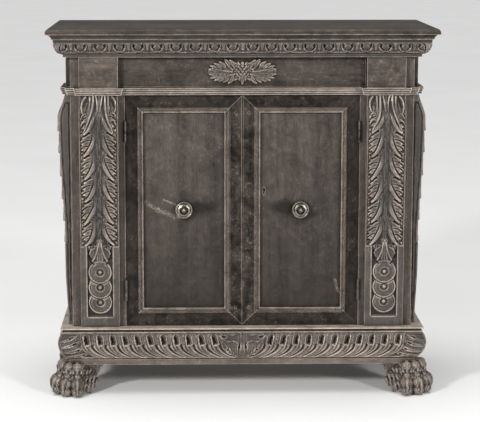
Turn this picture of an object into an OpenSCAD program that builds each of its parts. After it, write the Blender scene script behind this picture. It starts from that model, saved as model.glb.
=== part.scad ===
// Small two-door credenza in the Tuscan manner, made as it comes apart on a bench.
// Millimetres, +Z up, origin on the floor under the middle of the whole piece, front towards -Y.

/* [Overall] */
// Width over the outer faces of the two side boards
case_w = 1033; // [960:1:1100]
// Depth from the front face of the case to its back
case_d = 412.5; // [390:0.5:440]
// Reach of the front paws' toes in front of the case
paw_reach = 77.5; // [72:0.5:84]
// Reach of the paws' toes beyond the case sides
paw_side = 73.5; // [70:0.5:78]

/* [Heights] */
// Height of the feet under the plinth boards
foot_h = 89; // [84:1:96]
// Thickness of the plinth boards
plinth_t = 17; // [14:1:20]
// Height of the gadrooned torus
torus_h = 91; // [84:1:100]
// Height of the cap on the torus
cap_h = 10; // [8:1:14]
// Clear height of the door opening
opening_h = 711; // [690:1:740]
// Height of the ledge under the frieze, and thickness of the board behind it
ledge_h = 21; // [18:1:26]
// Height of the frieze and of the drawer opening
frieze_h = 93; // [86:1:104]
// Height of the cornice
cornice_h = 54; // [48:1:62]
// Thickness of the top board
top_t = 32; // [26:1:38]

/* [Mouldings] */
// Overhang of the top board beyond the case
top_over = 68.5; // [64:0.5:72]
// How far the top board's underside is cut back under its nosing
top_cut = 17; // [12:1:18]
// Projection of the cornice at its top
cornice_out = 47; // [42:1:52]
// Projection of the cornice at its bottom
cornice_foot = 20.5; // [18:0.5:24]
// Height of the plain fillet under the cornice
cornice_fillet = 9; // [6:1:12]
// Projection of the ledge
ledge_out = 15; // [12:1:18]
// Extra projection of the ledge round the consoles
ledge_break = 15.5; // [13:0.5:18]
// Step from one bead of the ledge to the next
ledge_step = 2.5; // [1.5:0.1:3]
// Projection of the torus at its fullest
torus_out = 43.5; // [38:0.5:48]
// Height of the torus's fullest line above its bottom
torus_full = 59; // [50:1:66]
// How far the torus draws in at its foot
torus_under = 28; // [22:1:32]
// How far the torus draws in at its brow
torus_over = 12; // [9:1:14]
// Projection of the cap on the torus
cap_out = 37; // [34:1:40]
// Thickness of the cap's edge over its cove
cap_edge = 3; // [2:0.5:4]
// Depth of the quirk between the torus and the cap
quirk = 7; // [4:1:9]
// Projection of the plinth boards
plinth_out = 13.5; // [10:0.5:16]
// Projection of the frieze blocks
block_out = 15; // [12:1:18]

/* [Boards] */
// Thickness of the side boards
side_t = 22; // [18:1:26]
// Thickness of the front stiles
stile_t = 22; // [18:1:24]
// Width of the front stiles
stile_w = 162.5; // [160:0.5:170]
// Thickness of the back boards
back_t = 14; // [10:1:18]
// Thickness of the bottom board
bottom_t = 20; // [16:1:24]
// Width of the plinth boards inside the case face
plinth_in = 60; // [45:1:80]
// Thickness of the shelf
shelf_t = 18; // [14:1:22]
// Height of the shelf's underside above the bottom board
shelf_z = 353; // [320:1:370]
// Set-back of the shelf from the case face
shelf_back = 62; // [55:1:90]
// Side of the square cleats under the shelf
cleat = 22; // [16:1:26]

/* [Consoles] */
// Width of each console
console_w = 117; // [110:1:117]
// Plain strip between a console and the corner of the case
strip_w = 26.5; // [22:0.5:27]
// Projection of a console at its foot
console_foot = 18; // [15:1:20]
// Projection of a console at the top of its three discs
console_waist = 25; // [21:1:28]
// Height of that narrow place above the console's foot
console_waist_z = 192; // [180:1:204]
// Projection of a console at its fullest
console_full = 43; // [38:1:46]
// Height of that fullest place above the console's foot
console_full_z = 633; // [600:1:650]
// Projection of a console at its top
console_top = 23; // [20:1:26]
// Thickness of the frame planted between the side consoles
side_frame_t = 9; // [6:1:12]
// Width of the strips of that frame
side_frame_w = 24; // [18:1:30]

/* [Carving] */
// Depth of the sunk ground between the leaves of a console
leaf_depth = 9; // [6:0.5:11]
// Number of pairs of leaves on a console
leaf_pairs = 6; // [4:1:7]
// Height of a console's lower part, with the discs, below the lowest pair of leaves
disc_zone = 258; // [240:1:270]
// Height over the highest pair's foot, up to the ledge
crown_h = 109; // [100:1:116]
// Radius of a disc
disc_r = 35.5; // [32:0.5:38]
// Distance from one disc's middle to the next
disc_pitch = 47; // [42:1:50]
// Number of discs
discs = 3; // [2:1:3]
// Width of the plain strips beside the discs
border_w = 21; // [19:0.5:23]
// Width of the fillets beside the leaves
fillet_w = 3.2; // [2:0.2:4]
// Width of the stem at its head
stem_w = 21; // [16:1:24]

/* [Doors] */
// Gap between the two doors
meeting_gap = 3; // [3:0.5:5]
// Gap between a door and its stile
hinge_gap = 1.5; // [1.5:0.5:2.5]
// Gap over and under a door
door_gap = 3; // [2:0.5:5]
// Set-back of the door's face from the case face
door_set = 2.5; // [1:0.5:4]
// Thickness of the door frame
door_t = 24; // [22:1:25]
// Width of the door frame's members
frame_w = 36; // [34:1:42]
// Thickness of a door panel
panel_t = 10; // [8:1:11]
// Set-back of the panel from the frame's face
panel_set = 10; // [8:1:11]
// Depth of the groove that holds the panel
groove = 8; // [6:1:9]
// Width of the raised moulding round the panel
bead_w = 17; // [14:1:20]
// Height of that moulding above the frame's face
bead_rise = 5; // [3:1:6]
// Diameter of the pegs through the frame's corners
peg_d = 7; // [5:0.5:8]

/* [Knobs] */
// Diameter of the knob
knob_d = 53; // [46:1:58]
// Projection of the knob from the panel
knob_out = 31; // [26:1:34]
// Diameter of the knob's spindle
spindle_d = 8; // [6:1:10]
// Height of the knobs above the bottom board
knob_z = 359; // [330:1:380]

/* [Hinges] */
// Height of a hinge
hinge_h = 60; // [50:1:70]
// Distance of the hinges' middles from the bottom and the top of the opening
hinge_in = 112; // [100:1:130]
// Radius of the knuckles
knuckle_r = 4.5; // [4:0.1:5]
// Radius of the hinge pin
pin_r = 2.2; // [1.8:0.1:2.4]
// Thickness of a hinge leaf
leaf_t = 1.5; // [1.2:0.1:1.8]
// Width of a hinge leaf from the pin's axis
leaf_w = 26; // [22:1:26]
// Clearance between a moving knuckle and what it turns against
knuckle_fit = 0.3; // [0.2:0.05:0.4]
// Clearance round a hinge pin
pin_fit = 0.08; // [0.04:0.01:0.1]

/* [Locks and bolts] */
// Distance of the keyhole from the middle of the front
keyhole_x = 66; // [60:1:72]
// Height of the keyhole above the knobs
keyhole_up = 56; // [52:1:66]
// Diameter of the keyhole's round part
keyhole_d = 8; // [6:0.5:9]
// Height of the whole keyhole
keyhole_h = 18; // [15:1:20]
// Width of the lock case
lock_w = 90; // [84:1:96]
// Height of the lock case
lock_h = 80; // [70:1:84]
// Depth of the lock case
lock_d = 14; // [13:1:16]
// Height of the lock bolt's middle above the keyhole's
bolt_up = 20; // [18:1:24]
// Height of the lock bolt's bar
bolt_h = 16; // [12:1:20]
// Depth of the lock bolt's bar
bolt_d = 7; // [5:1:8]
// Clearance round a sliding bolt
bolt_fit = 0.4; // [0.3:0.1:0.6]
// Throw of the lock bolt
bolt_throw = 18; // [16:1:20]
// Radius of the left door's upright bolt
rod_r = 4; // [3:0.5:5]
// Throw of the upright bolt
rod_throw = 14; // [10:1:16]

/* [Drawer] */
// Gap round the drawer front
drawer_gap = 2; // [1.5:0.5:3]
// Set-back of the drawer front from the case face
drawer_set = 7.5; // [6:0.5:9]
// Thickness of the drawer front
drawer_front_t = 20; // [18:1:22]
// Thickness of the drawer sides and back
drawer_side_t = 12; // [10:1:14]
// Thickness of the drawer bottom
drawer_bottom_t = 7; // [6:1:9]
// Length of the drawer sides
drawer_l = 310; // [280:1:330]
// Height of the guides beside the drawer
guide_rise = 30; // [24:1:40]
// Clearance under and beside the running drawer
drawer_fit = 0.6; // [0.5:0.1:1]
// Length of the carved ornament on the drawer
ornament_w = 204; // [180:1:220]
// Height of that ornament
ornament_h = 75; // [68:1:80]
// Thickness of that ornament
ornament_t = 12; // [8:1:14]

/* [Feet] */
// Distance of a front foot's middle behind the paw's toes
toe_reach = 85; // [80:1:88]
// How much nearer to the back a rear paw stands than its toes' reach
rear_paw_back = 12; // [6:1:14]
// Radius of a toe's tip
toe_r = 17; // [15:1:19]
// Radius of a knuckle
toe_knuckle_r = 22; // [20:1:24]
// Distance of the knuckles from the foot's middle
knuckle_reach = 46; // [42:1:50]
// Radius of the instep
instep_r = 26; // [22:1:30]
// Width and depth of a leg where it meets the plinth
leg_w = 107; // [96:1:116]
// How far the leg is drawn in from the plinth's edge
leg_set = 4; // [2:0.5:8]

/* [Hidden] */
$fn = 48;

walnut = "#5b4532";
walnut_dark = "#4a3728";
walnut_light = "#6d553e";
poplar = "#8c7555";
bronze = "#8a7448";
iron = "#45423f";

// Planes of the case
half = case_w/2;
back_y = (case_d + paw_reach)/2;
face_y = back_y - case_d;
z_plinth = foot_h;
z_torus = z_plinth + plinth_t;
z_cap = z_torus + torus_h;
z_open = z_cap + cap_h;
z_ledge = z_open + opening_h;
z_frieze = z_ledge + ledge_h;
z_cornice = z_frieze + frieze_h;
z_top = z_cornice + cornice_h;
height = z_top + top_t;
inner_x = half - side_t;
inner_y = back_y - back_t;
stile_back = face_y + stile_t;
open_x = half - stile_w;
console_x = half - strip_w - console_w;

// Planes of a door, drawn for the right-hand one
door_x0 = meeting_gap/2;
door_x1 = open_x - hinge_gap;
door_z0 = z_open + door_gap;
door_z1 = z_ledge - door_gap;
door_y = face_y + door_set;
door_back = door_y + door_t;
panel_y = door_y + panel_set;
panel_x = (door_x0 + door_x1)/2;
panel_z = (door_z0 + door_z1)/2;
sight_w = door_x1 - door_x0 - 2*frame_w;
sight_h = door_z1 - door_z0 - 2*frame_w;
knob_up = z_open + knob_z;
keyhole_up_z = knob_up + keyhole_up;
hinge_x = open_x - hinge_gap/2;
hinge_y = face_y - knuckle_r - knuckle_fit;
hinge_zs = [z_open + hinge_in, z_ledge - hinge_in];
knuckle_h = hinge_h/3;
joint_gap = 0.1;
peg_on_rail = 10;
peg_on_stile = 17;
peg_fit = 0.05;
spindle_fit = 0.2;

// Places of the locks
lock_edge = 4.5;
lock_x0 = door_x0 + lock_edge;
bolt_len = 70;
bolt_in = 2;
bolt_x0 = lock_x0 + bolt_in;
bolt_y = door_back + lock_d/2;
bolt_z = keyhole_up_z + bolt_up;
keeper_edge = 2.5;
keeper_w = bolt_throw + 2;
rod_x = -20;
rod_off = 7;
rod_y = door_back + rod_off;
rod_rest = 6;
rod_top = z_ledge - rod_rest;
rod_len = 112;
guide_w = 18;
guide_h = 10;
bolt_plate_t = 2;

// Places of the drawer
drawer_x = console_x - drawer_gap;
drawer_y = face_y + drawer_set;
drawer_z0 = z_frieze + drawer_gap;
drawer_z1 = z_cornice - drawer_gap;
box_y = drawer_y + drawer_front_t;
box_inset = 7;
box_x = drawer_x - box_inset;
box_z0 = z_frieze + drawer_fit;
box_headroom = 5;
box_z1 = z_cornice - box_headroom;
guide_board = 20;
bottom_up = 8;
drawer_bottom_z = box_z0 + bottom_up;
drawer_groove = 5;

// Smooth passage from a to b while u goes from 0 to 1
function ease(a, b, u) = a + (b - a)*(1 - cos(180*u))/2;
// Smooth outline from one [projection, height] to another, with its first point left out
function swell(p, q, n = 8) = [for (i = [1:n]) [ease(p[0], q[0], i/n), p[1] + (q[1] - p[1])*i/n]];
// Points of an arc round [x, y] from angle a to angle b
function arc(x, y, r, a, b, n = 8) =
    [for (i = [0:n]) let (t = a + (b - a)*i/n) [x + r*cos(t), y + r*sin(t)]];

// Box given by its two corners
module span(a, b) {
    translate(a) cube(b - a);
}

// What is drawn on the right, drawn on the left
module on_left() {
    mirror([1, 0, 0]) children();
}

// Plan of what lies between two mitre planes along the front
module front_share(reach, depth) {
    linear_extrude(height + 1)
        polygon([[-half + depth, face_y + depth], [half - depth, face_y + depth],
            [half + reach, face_y - reach], [-half - reach, face_y - reach]]);
}

// Plan of what lies behind the mitre plane along the right side
module side_share(reach, depth) {
    linear_extrude(height + 1)
        polygon([[half - depth, face_y + depth], [half + reach, face_y - reach],
            [half + reach, back_y + 1], [half - depth, back_y + 1]]);
}

// Moulding along the front from an outline of projection and height
module front_run(reach, depth = 0) {
    intersection() {
        translate([0, face_y, 0]) rotate([90, 0, 90])
            linear_extrude(case_w + 4*reach, center = true) mirror([1, 0]) children();
        front_share(reach + 2, depth + 2);
    }
}

// The same moulding along the right side
module side_run(reach, depth = 0) {
    intersection() {
        translate([half, back_y, 0]) rotate([90, 0, 0]) linear_extrude(case_d + 2*reach) children();
        side_share(reach + 2, depth + 2);
    }
}

// Edge of the top board from its underside to its face, as projection and height
function top_edge() =
    let (thumb = top_t*0.33, hollow = top_cut - 2)
    concat(arc(top_over - 2, z_top, hollow, 180, 90, 6),
        [[top_over, z_top + hollow]],
        arc(top_over - thumb, height - thumb, thumb, 0, 90, 6));

module top_board() {
    edge = top_edge();
    last = len(edge) - 1;
    right_end = [for (p = edge) [half + p[0], p[1]]];
    left_end = [for (i = [0:last]) [-half - edge[last - i][0], edge[last - i][1]]];
    color(walnut)
    intersection() {
        translate([0, face_y, 0]) rotate([90, 0, 90]) linear_extrude(case_w + 4*top_over, center = true)
            mirror([1, 0]) polygon(concat([[-case_d, z_top]], edge, [[-case_d, height]]));
        translate([0, back_y + 1, 0]) rotate([90, 0, 0]) linear_extrude(case_d + 4*top_over)
            polygon(concat(right_end, left_end));
    }
}

// Outline of the cornice: a fillet, then the ovolo that carries the egg-and-dart
module cornice_outline() {
    z0 = z_cornice + cornice_fillet;
    x0 = cornice_foot + 1;
    rise = z_top - z0;
    polygon(concat([[-side_t, z_cornice], [cornice_foot, z_cornice], [cornice_foot, z0]],
        [for (t = [0:10:90]) [x0 + (cornice_out - x0)*sin(t), z0 + rise*(1 - cos(t))]],
        [[-side_t, z_top]]));
}

module cornice_front() {
    color(walnut_dark) front_run(cornice_out, side_t - 2) cornice_outline();
}

module cornice_right() {
    side_run(cornice_out, side_t - 2) cornice_outline();
}

module cornice_sides() {
    color(walnut_dark) {
        cornice_right();
        on_left() cornice_right();
    }
}

// Where the front of a side console stands, front one and rear one
side_console_ys = [face_y + strip_w, back_y - strip_w - console_w];

module frieze_block_right() {
    color(walnut)
    span([console_x, face_y - block_out, z_frieze], [console_x + console_w, face_y, z_cornice]);
}

module frieze_block_left() {
    on_left() frieze_block_right();
}

module frieze_side_right() {
    color(walnut)
    for (y = side_console_ys) span([half, y, z_frieze], [half + block_out, y + console_w, z_cornice]);
}

module frieze_side_left() {
    on_left() frieze_side_right();
}

// Plan of the ledge: an even run round the case that breaks forward round each console
module ledge_plan(reach) {
    difference() {
        union() {
            translate([-half - reach, face_y - reach]) square([case_w + 2*reach, case_d + reach]);
            for (s = [-1, 1]) {
                translate([s*(console_x + console_w/2), face_y - (reach + ledge_break)/2])
                    square([console_w + 2*reach, reach + ledge_break], center = true);
                for (y = side_console_ys)
                    translate([s*(half + (reach + ledge_break)/2), y + console_w/2])
                        square([reach + ledge_break, console_w + 2*reach], center = true);
            }
        }
        translate([-half, face_y]) square([case_w, case_d + 1]);
    }
}

// The ledge as three stepped beads, widest at the top
module ledge() {
    beads = 3;
    for (k = [0:beads - 1])
        translate([0, 0, z_ledge + k*ledge_h/beads])
            linear_extrude(ledge_h/beads) ledge_plan(ledge_out - (beads - 1 - k)*ledge_step);
}

module ledge_front() {
    color(walnut_dark)
    intersection() {
        ledge();
        front_share(ledge_out + ledge_break + 10, 1);
    }
}

module ledge_sides() {
    color(walnut_dark)
    difference() {
        ledge();
        front_share(ledge_out + ledge_break + 10, 1);
    }
}

module side_board_right() {
    color(walnut) span([inner_x, stile_back, z_torus], [half, back_y, z_cornice]);
}

module side_board_left() {
    on_left() side_board_right();
}

// Front stile: broad beside the door, cut back beside the drawer, let in for the hinge leaves
module front_stile_right() {
    color(walnut)
    difference() {
        union() {
            span([open_x, face_y, z_torus], [half, stile_back, z_frieze]);
            span([console_x, face_y, z_frieze - 1], [half, stile_back, z_cornice]);
        }
        for (z = hinge_zs) frame_leaf_plate(z);
    }
}

module front_stile_left() {
    on_left() front_stile_right();
}

// Three boards side by side, shrunk apart a little
module back_boards() {
    boards = 3;
    shrink = 1;
    board_w = (2*inner_x - (boards - 1)*shrink)/boards;
    color(poplar)
    for (k = [0:boards - 1])
        translate([-inner_x + k*(board_w + shrink), inner_y, z_torus])
            cube([board_w, back_t, z_top - z_torus]);
}

// Board across the case with a tongue between the stiles
module cross_board(z, t) {
    span([-inner_x, stile_back, z], [inner_x, inner_y, z + t]);
    span([-open_x, face_y, z], [open_x, stile_back + 1, z + t]);
}

module bottom_board() {
    color(poplar)
    union() cross_board(z_open - bottom_t, bottom_t);
}

// Board between the cupboard and the drawer, with a square mortise for the upright bolt
module dust_board() {
    m = rod_r + bolt_fit;
    color(poplar)
    difference() {
        union() cross_board(z_ledge, ledge_h);
        span([rod_x - m, rod_y - m, z_ledge - 1], [rod_x + m, rod_y + m, z_ledge + rod_throw + 2]);
    }
}

module shelf() {
    z = z_open + shelf_z;
    color(poplar) span([-inner_x, face_y + shelf_back, z], [inner_x, inner_y, z + shelf_t]);
}

module shelf_cleats() {
    z = z_open + shelf_z;
    color(poplar)
    for (s = [0, 1]) mirror([s, 0, 0])
        span([inner_x - cleat, face_y + shelf_back, z - cleat], [inner_x, inner_y, z]);
}

// Guides beside the drawer and kickers above its sides
module drawer_guides() {
    kicker_h = 18;
    color(poplar)
    for (s = [0, 1]) mirror([s, 0, 0]) {
        span([box_x + drawer_fit, box_y + 2, z_frieze],
            [box_x + drawer_fit + guide_board, inner_y, z_frieze + guide_rise]);
        span([box_x - guide_board, face_y + side_t, z_cornice], [box_x, inner_y, z_cornice + kicker_h]);
    }
}

// Outline of a console seen from its side, as projection and height, sunk by a depth
module console_outline(sunk = 0) {
    foot = [console_foot - sunk, z_open];
    waist = [console_waist - sunk, z_open + console_waist_z];
    belly = [console_full - sunk, z_open + console_full_z];
    head = [console_top - sunk, z_ledge];
    polygon(concat([[0, z_open], foot], swell(foot, waist), swell(waist, belly), swell(belly, head),
        [[0, z_ledge]]));
}

// Console's body about x = 0, its face towards -Y
module console_body(sunk = 0) {
    rotate([90, 0, 90]) linear_extrude(console_w, center = true) mirror([1, 0]) console_outline(sunk);
}

// Right-hand leaf of a pair, in shares of the console's half width and of the pitch of the pairs
leaf_points = [[0.16, 1.13], [0.33, 0.87], [0.65, 0.83], [0.89, 0.73], [0.62, 0.61], [0.905, 0.41],
    [0.685, 0.35], [0.905, 0.12], [0.85, -0.09], [0.46, 0], [0.33, 0.12], [0.16, 0.35]];
// The highest pair reaches up to the ledge
crown_points = [[0.16, 1.59], [0.85, 1.56], [0.9, 1.15], [0.68, 1.02], [0.905, 0.8]];
// Half of the last leaf, which hangs over the highest disc
tip_points = [[0, 1.13], [0.5, 1], [0.66, 0.8], [0.44, 0.6], [0.52, 0.5], [0.3, 0.3], [0.36, 0.2],
    [0, -0.08]];

leaf_foot = z_open + disc_zone;
leaf_pitch = (opening_h - disc_zone - crown_h)/(leaf_pairs - 1);
disc_under = 17;
disc_top = leaf_foot - leaf_pitch - disc_under;
border_over = 10;
disc_floor = 34;
stem_foot = 25;

// Solid through the console under an outline of its face
module under(points) {
    rotate([90, 0, 0]) linear_extrude(console_full + 1) polygon(points);
}

// What is left standing of a console's face: borders, stem, leaves and discs
module console_carving() {
    w = console_w/2;
    border = w - border_w;
    fillet = w - fillet_w;
    border_top = leaf_foot - border_over;
    floor_top = z_open + disc_floor;
    stem_low = stem_w*0.2;
    for (s = [0, 1]) mirror([s, 0, 0]) {
        under([[border, z_open], [w, z_open], [w, z_ledge], [fillet, z_ledge], [fillet, border_top],
            [border, border_top]]);
        for (k = [0:leaf_pairs - 2])
            under([for (p = leaf_points) [p[0]*w, leaf_foot + (k + p[1])*leaf_pitch]]);
        under([for (p = concat(crown_points, [for (i = [4:11]) leaf_points[i]]))
            [p[0]*w, z_ledge - crown_h + p[1]*leaf_pitch]]);
        under([for (p = tip_points) [p[0]*w, leaf_foot + (p[1] - 1)*leaf_pitch]]);
    }
    under([[-border, z_open], [border, z_open], [border, floor_top], [-border, floor_top]]);
    under([[-stem_w/2, z_ledge], [stem_w/2, z_ledge], [stem_low, leaf_foot - stem_foot],
        [-stem_low, leaf_foot - stem_foot]]);
    for (k = [0:discs - 1])
        translate([0, 0, disc_top - k*disc_pitch]) rotate([90, 0, 0])
            cylinder(h = console_full + 1, r = disc_r);
}

module console() {
    union() {
        console_body(leaf_depth);
        intersection() {
            console_body();
            console_carving();
        }
    }
}

module front_console_right() {
    color(walnut) translate([console_x + console_w/2, face_y, 0]) console();
}

module front_console_left() {
    on_left() front_console_right();
}

module side_consoles_right() {
    color(walnut)
    for (y = side_console_ys) translate([half, y + console_w/2, 0]) rotate(90) console();
}

module side_consoles_left() {
    on_left() side_consoles_right();
}

// Frame planted on the side board between the two consoles, so that the board reads as a sunk panel
module side_frame_right() {
    y0 = side_console_ys[0] + console_w;
    y1 = side_console_ys[1];
    color(walnut)
    difference() {
        span([half, y0, z_open], [half + side_frame_t, y1, z_ledge]);
        span([half - 1, y0 + side_frame_w, z_open + 2*side_frame_w],
            [half + side_frame_t + 1, y1 - side_frame_w, z_ledge - 2*side_frame_w]);
    }
}

module side_frame_left() {
    on_left() side_frame_right();
}

// Outline of the base moulding: the torus, and over a quirk a cove under the cap's thin edge
module base_outline() {
    steps = 7;
    z_full = z_torus + torus_full;
    cove_x = torus_out - torus_over - quirk;
    cove_w = cap_out - 1 - cove_x;
    polygon(concat([[0, z_torus]],
        [for (i = [0:steps]) let (u = 1 - i/steps) [torus_out - torus_under*u*u, z_full - torus_full*u]],
        [for (i = [1:steps]) let (u = i/steps) [torus_out - torus_over*u*u, z_full + (z_cap - z_full)*u]],
        [for (t = [0:15:90]) [cove_x + cove_w*(1 - cos(t)), z_cap + (cap_h - cap_edge)*sin(t)]],
        [[cap_out, z_open - cap_edge], [cap_out, z_open], [0, z_open]]));
}

module base_front() {
    color(walnut_dark) front_run(torus_out) base_outline();
}

module base_right() {
    color(walnut_dark) side_run(torus_out) base_outline();
}

module base_left() {
    on_left() base_right();
}

// Four boards lying flat under the case: the sides fit between the front and the back
module plinth_frame() {
    x = half + plinth_out;
    color(walnut_dark) {
        span([-x, face_y - plinth_out, z_plinth], [x, face_y + plinth_in, z_torus]);
        span([-x, back_y - plinth_in, z_plinth], [x, back_y, z_torus]);
        for (s = [0, 1]) mirror([s, 0, 0])
            span([half - plinth_in, face_y + plinth_in + joint_gap, z_plinth],
                [x, back_y - plinth_in - joint_gap, z_torus]);
    }
}

// Wedge of a leg: full under the plinth, drawn in towards the paw
module leg_wedge(y_in, y_out) {
    x_out = half + plinth_out - leg_set;
    x_in = x_out - leg_w + leg_set;
    z_low = toe_r*0.7;
    intersection() {
        rotate([90, 0, 0]) linear_extrude(3*case_d, center = true)
            polygon([[x_in, z_plinth], [x_out, z_plinth], [x_out, z_low], [x_in + leg_w*0.43, z_low]]);
        rotate([90, 0, 90]) linear_extrude(2*case_w, center = true)
            polygon([[y_in, z_plinth], [y_out, z_plinth], [y_out*0.7 + y_in*0.3, z_low],
                [y_in*0.6 + y_out*0.4, z_low]]);
    }
}

// One toe: from the instep to the knuckle, and from the knuckle down to the tip, drawn along +X
module toe(spread) {
    joint = [knuckle_reach, 0, z_plinth - 8];
    tip = [toe_reach - toe_r, 0, toe_r - 3];
    rotate(spread) {
        hull() {
            translate([8, 0, instep_r + 6]) sphere(r = instep_r, $fn = 18);
            translate(joint) sphere(r = toe_knuckle_r, $fn = 18);
        }
        hull() {
            translate(joint) sphere(r = toe_knuckle_r, $fn = 18);
            translate(tip) sphere(r = toe_r, $fn = 18);
        }
    }
}

// Lion's paw with four toes about its middle line, cut flat on the floor and clear of the plinth
module paw(x, y, turn) {
    difference() {
        intersection() {
            translate([x, y, 0]) rotate(turn) for (a = [-45, -15, 15, 45]) toe(a);
            translate([0, y - 2*toe_reach, 0]) cube([case_w, 4*toe_reach, z_torus - 1]);
        }
        span([0, face_y - plinth_out - 0.5, z_plinth - 0.01],
            [half + plinth_out + 0.5, back_y + 1, height]);
    }
}

module foot_front_right() {
    color(walnut_dark)
    union() {
        paw(half + paw_side - toe_reach, face_y - paw_reach + toe_reach, -45);
        leg_wedge(face_y - plinth_out + leg_w, face_y - plinth_out + leg_set);
    }
}

module foot_front_left() {
    on_left() foot_front_right();
}

// The rear paws point sideways and stay in front of the back
module foot_rear_right() {
    color(walnut_dark)
    union() {
        paw(half + paw_side - toe_reach, back_y - toe_reach + rear_paw_back, 0);
        leg_wedge(back_y - leg_set - leg_w, back_y - leg_set);
    }
}

module foot_rear_left() {
    on_left() foot_rear_right();
}

// Space taken by a door panel with its tongues
module panel_space() {
    reach = frame_w - groove;
    span([door_x0 + reach, panel_y, door_z0 + reach],
        [door_x1 - reach, panel_y + panel_t, door_z1 - reach]);
}

// The eight pegs of a door, two at each corner
module corner_pegs(r, extra = 0) {
    peg_in = frame_w/2;
    for (right = [0, 1], top = [0, 1], on_stile = [0, 1]) {
        dx = on_stile ? peg_in : frame_w + peg_on_rail;
        dz = on_stile ? frame_w + peg_on_stile : peg_in;
        x = right ? door_x1 - dx : door_x0 + dx;
        z = top ? door_z1 - dz : door_z0 + dz;
        translate([x, door_back + extra, z]) rotate([90, 0, 0]) cylinder(h = door_t + 2*extra, r = r);
    }
}

// Member of the door frame: its face outline through the frame's thickness, grooved and bored
module door_member(outline) {
    difference() {
        translate([0, door_back, 0]) rotate([90, 0, 0]) linear_extrude(door_t) polygon(outline);
        panel_space();
        corner_pegs(peg_d/2 + peg_fit, 1);
        for (z = hinge_zs) door_leaf_plate(z);
    }
}

module door_right_hinge_stile() {
    x = door_x1 - frame_w;
    color(walnut)
    door_member([[door_x1, door_z0], [door_x1, door_z1], [x, door_z1 - frame_w], [x, door_z0 + frame_w]]);
}

module door_right_meeting_stile() {
    x = door_x0 + frame_w;
    color(walnut)
    door_member([[door_x0, door_z0], [x, door_z0 + frame_w], [x, door_z1 - frame_w], [door_x0, door_z1]]);
}

module door_right_rails() {
    xa = door_x0 + frame_w;
    xb = door_x1 - frame_w;
    za = door_z0 + frame_w;
    zb = door_z1 - frame_w;
    color(walnut) {
        door_member([[door_x0, door_z1], [xa, zb], [xb, zb], [door_x1, door_z1]]);
        door_member([[door_x0, door_z0], [door_x1, door_z0], [xb, za], [xa, za]]);
    }
}

module plain_panel() {
    difference() {
        panel_space();
        translate([panel_x, panel_y - 1, knob_up]) rotate([-90, 0, 0])
            cylinder(h = panel_t + 2, r = spindle_d/2 + spindle_fit);
    }
}

// Keyhole cut from one depth to another: a round over a narrower slot
module keyhole(y0, y1) {
    slot_w = keyhole_d*0.6;
    round_z = keyhole_up_z + (keyhole_h - keyhole_d)/2;
    translate([keyhole_x, y0, round_z]) rotate([-90, 0, 0]) cylinder(h = y1 - y0, r = keyhole_d/2);
    span([keyhole_x - slot_w/2, y0, keyhole_up_z - keyhole_h/2], [keyhole_x + slot_w/2, y1, round_z]);
}

module door_right_panel() {
    color(walnut_light)
    difference() {
        plain_panel();
        keyhole(panel_y - 1, panel_y + panel_t + 1);
    }
}

// Length of moulding lying along X, mitred at both ends: a broad bead, a groove and a thin bead
module bead_bar(length) {
    rise = panel_set + bead_rise;
    broad = bead_w*0.28;
    thin = bead_w*0.14;
    intersection() {
        rotate([90, 0, 90]) linear_extrude(length, center = true)
            polygon(concat([[0, 0]], arc(broad, rise - broad, broad, 180, 0),
                [[2*broad, rise - 7.5], [bead_w - 2*thin, rise - 7.5]],
                arc(bead_w - thin, rise - 6, thin, 180, 0, 6), [[bead_w, 0]]));
        linear_extrude(2*rise)
            polygon([[joint_gap - length/2, 0], [length/2 - joint_gap, 0],
                [length/2 - joint_gap - bead_w, bead_w], [bead_w + joint_gap - length/2, bead_w]]);
    }
}

module door_right_moulding() {
    color(walnut_dark)
    translate([panel_x, panel_y, panel_z]) rotate([90, 0, 0]) {
        for (a = [0, 180]) rotate(a) translate([0, -sight_h/2, 0]) bead_bar(sight_w);
        for (a = [90, 270]) rotate(a) translate([0, -sight_w/2, 0]) bead_bar(sight_h);
    }
}

// Turned knob with its spindle through the panel, and the round nut behind
module door_right_knob() {
    r = knob_d/2;
    sr = spindle_d/2;
    behind = panel_t + 12;
    nut_t = 5;
    rim_r = 4;
    rim_z = knob_out*0.3 + rim_r;
    color(bronze)
    translate([panel_x, panel_y, knob_up]) rotate([90, 0, 0]) {
        rotate_extrude()
            polygon(concat([[0, -behind], [sr, -behind], [sr, 0], [r*0.42, 0], [r*0.36, 3],
                    [r*0.3, rim_z - rim_r]],
                arc(r - rim_r, rim_z, rim_r, -90, 90),
                [[r*0.74, knob_out*0.5], [r*0.7, knob_out*0.6], [r*0.52, knob_out*0.66],
                    [r*0.42, knob_out*0.56]],
                [for (t = [0:15:90]) [r*0.34*cos(t), knob_out*(0.62 + 0.38*sin(t))]]));
        translate([0, 0, -panel_t - nut_t])
            difference() {
                cylinder(h = nut_t, r = sr + 6);
                translate([0, 0, -1]) cylinder(h = nut_t + 2, r = sr);
            }
    }
}

module door_right_pegs() {
    color(walnut_light) corner_pegs(peg_d/2);
}

module door_left_hinge_stile() {
    on_left() door_right_hinge_stile();
}

module door_left_meeting_stile() {
    on_left() door_right_meeting_stile();
}

module door_left_rails() {
    on_left() door_right_rails();
}

module door_left_panel() {
    color(walnut_light) on_left() plain_panel();
}

module door_left_moulding() {
    on_left() door_right_moulding();
}

module door_left_knob() {
    on_left() door_right_knob();
}

module door_left_pegs() {
    on_left() door_right_pegs();
}

// Plates of one hinge about height z: one let into the door's edge, one into the stile's
module door_leaf_plate(z) {
    span([door_x1 - leaf_t, hinge_y, z - hinge_h/2], [door_x1, hinge_y + leaf_w, z + hinge_h/2]);
}

module frame_leaf_plate(z) {
    span([open_x, hinge_y, z - hinge_h/2], [open_x + leaf_t, hinge_y + leaf_w, z + hinge_h/2]);
}

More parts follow.
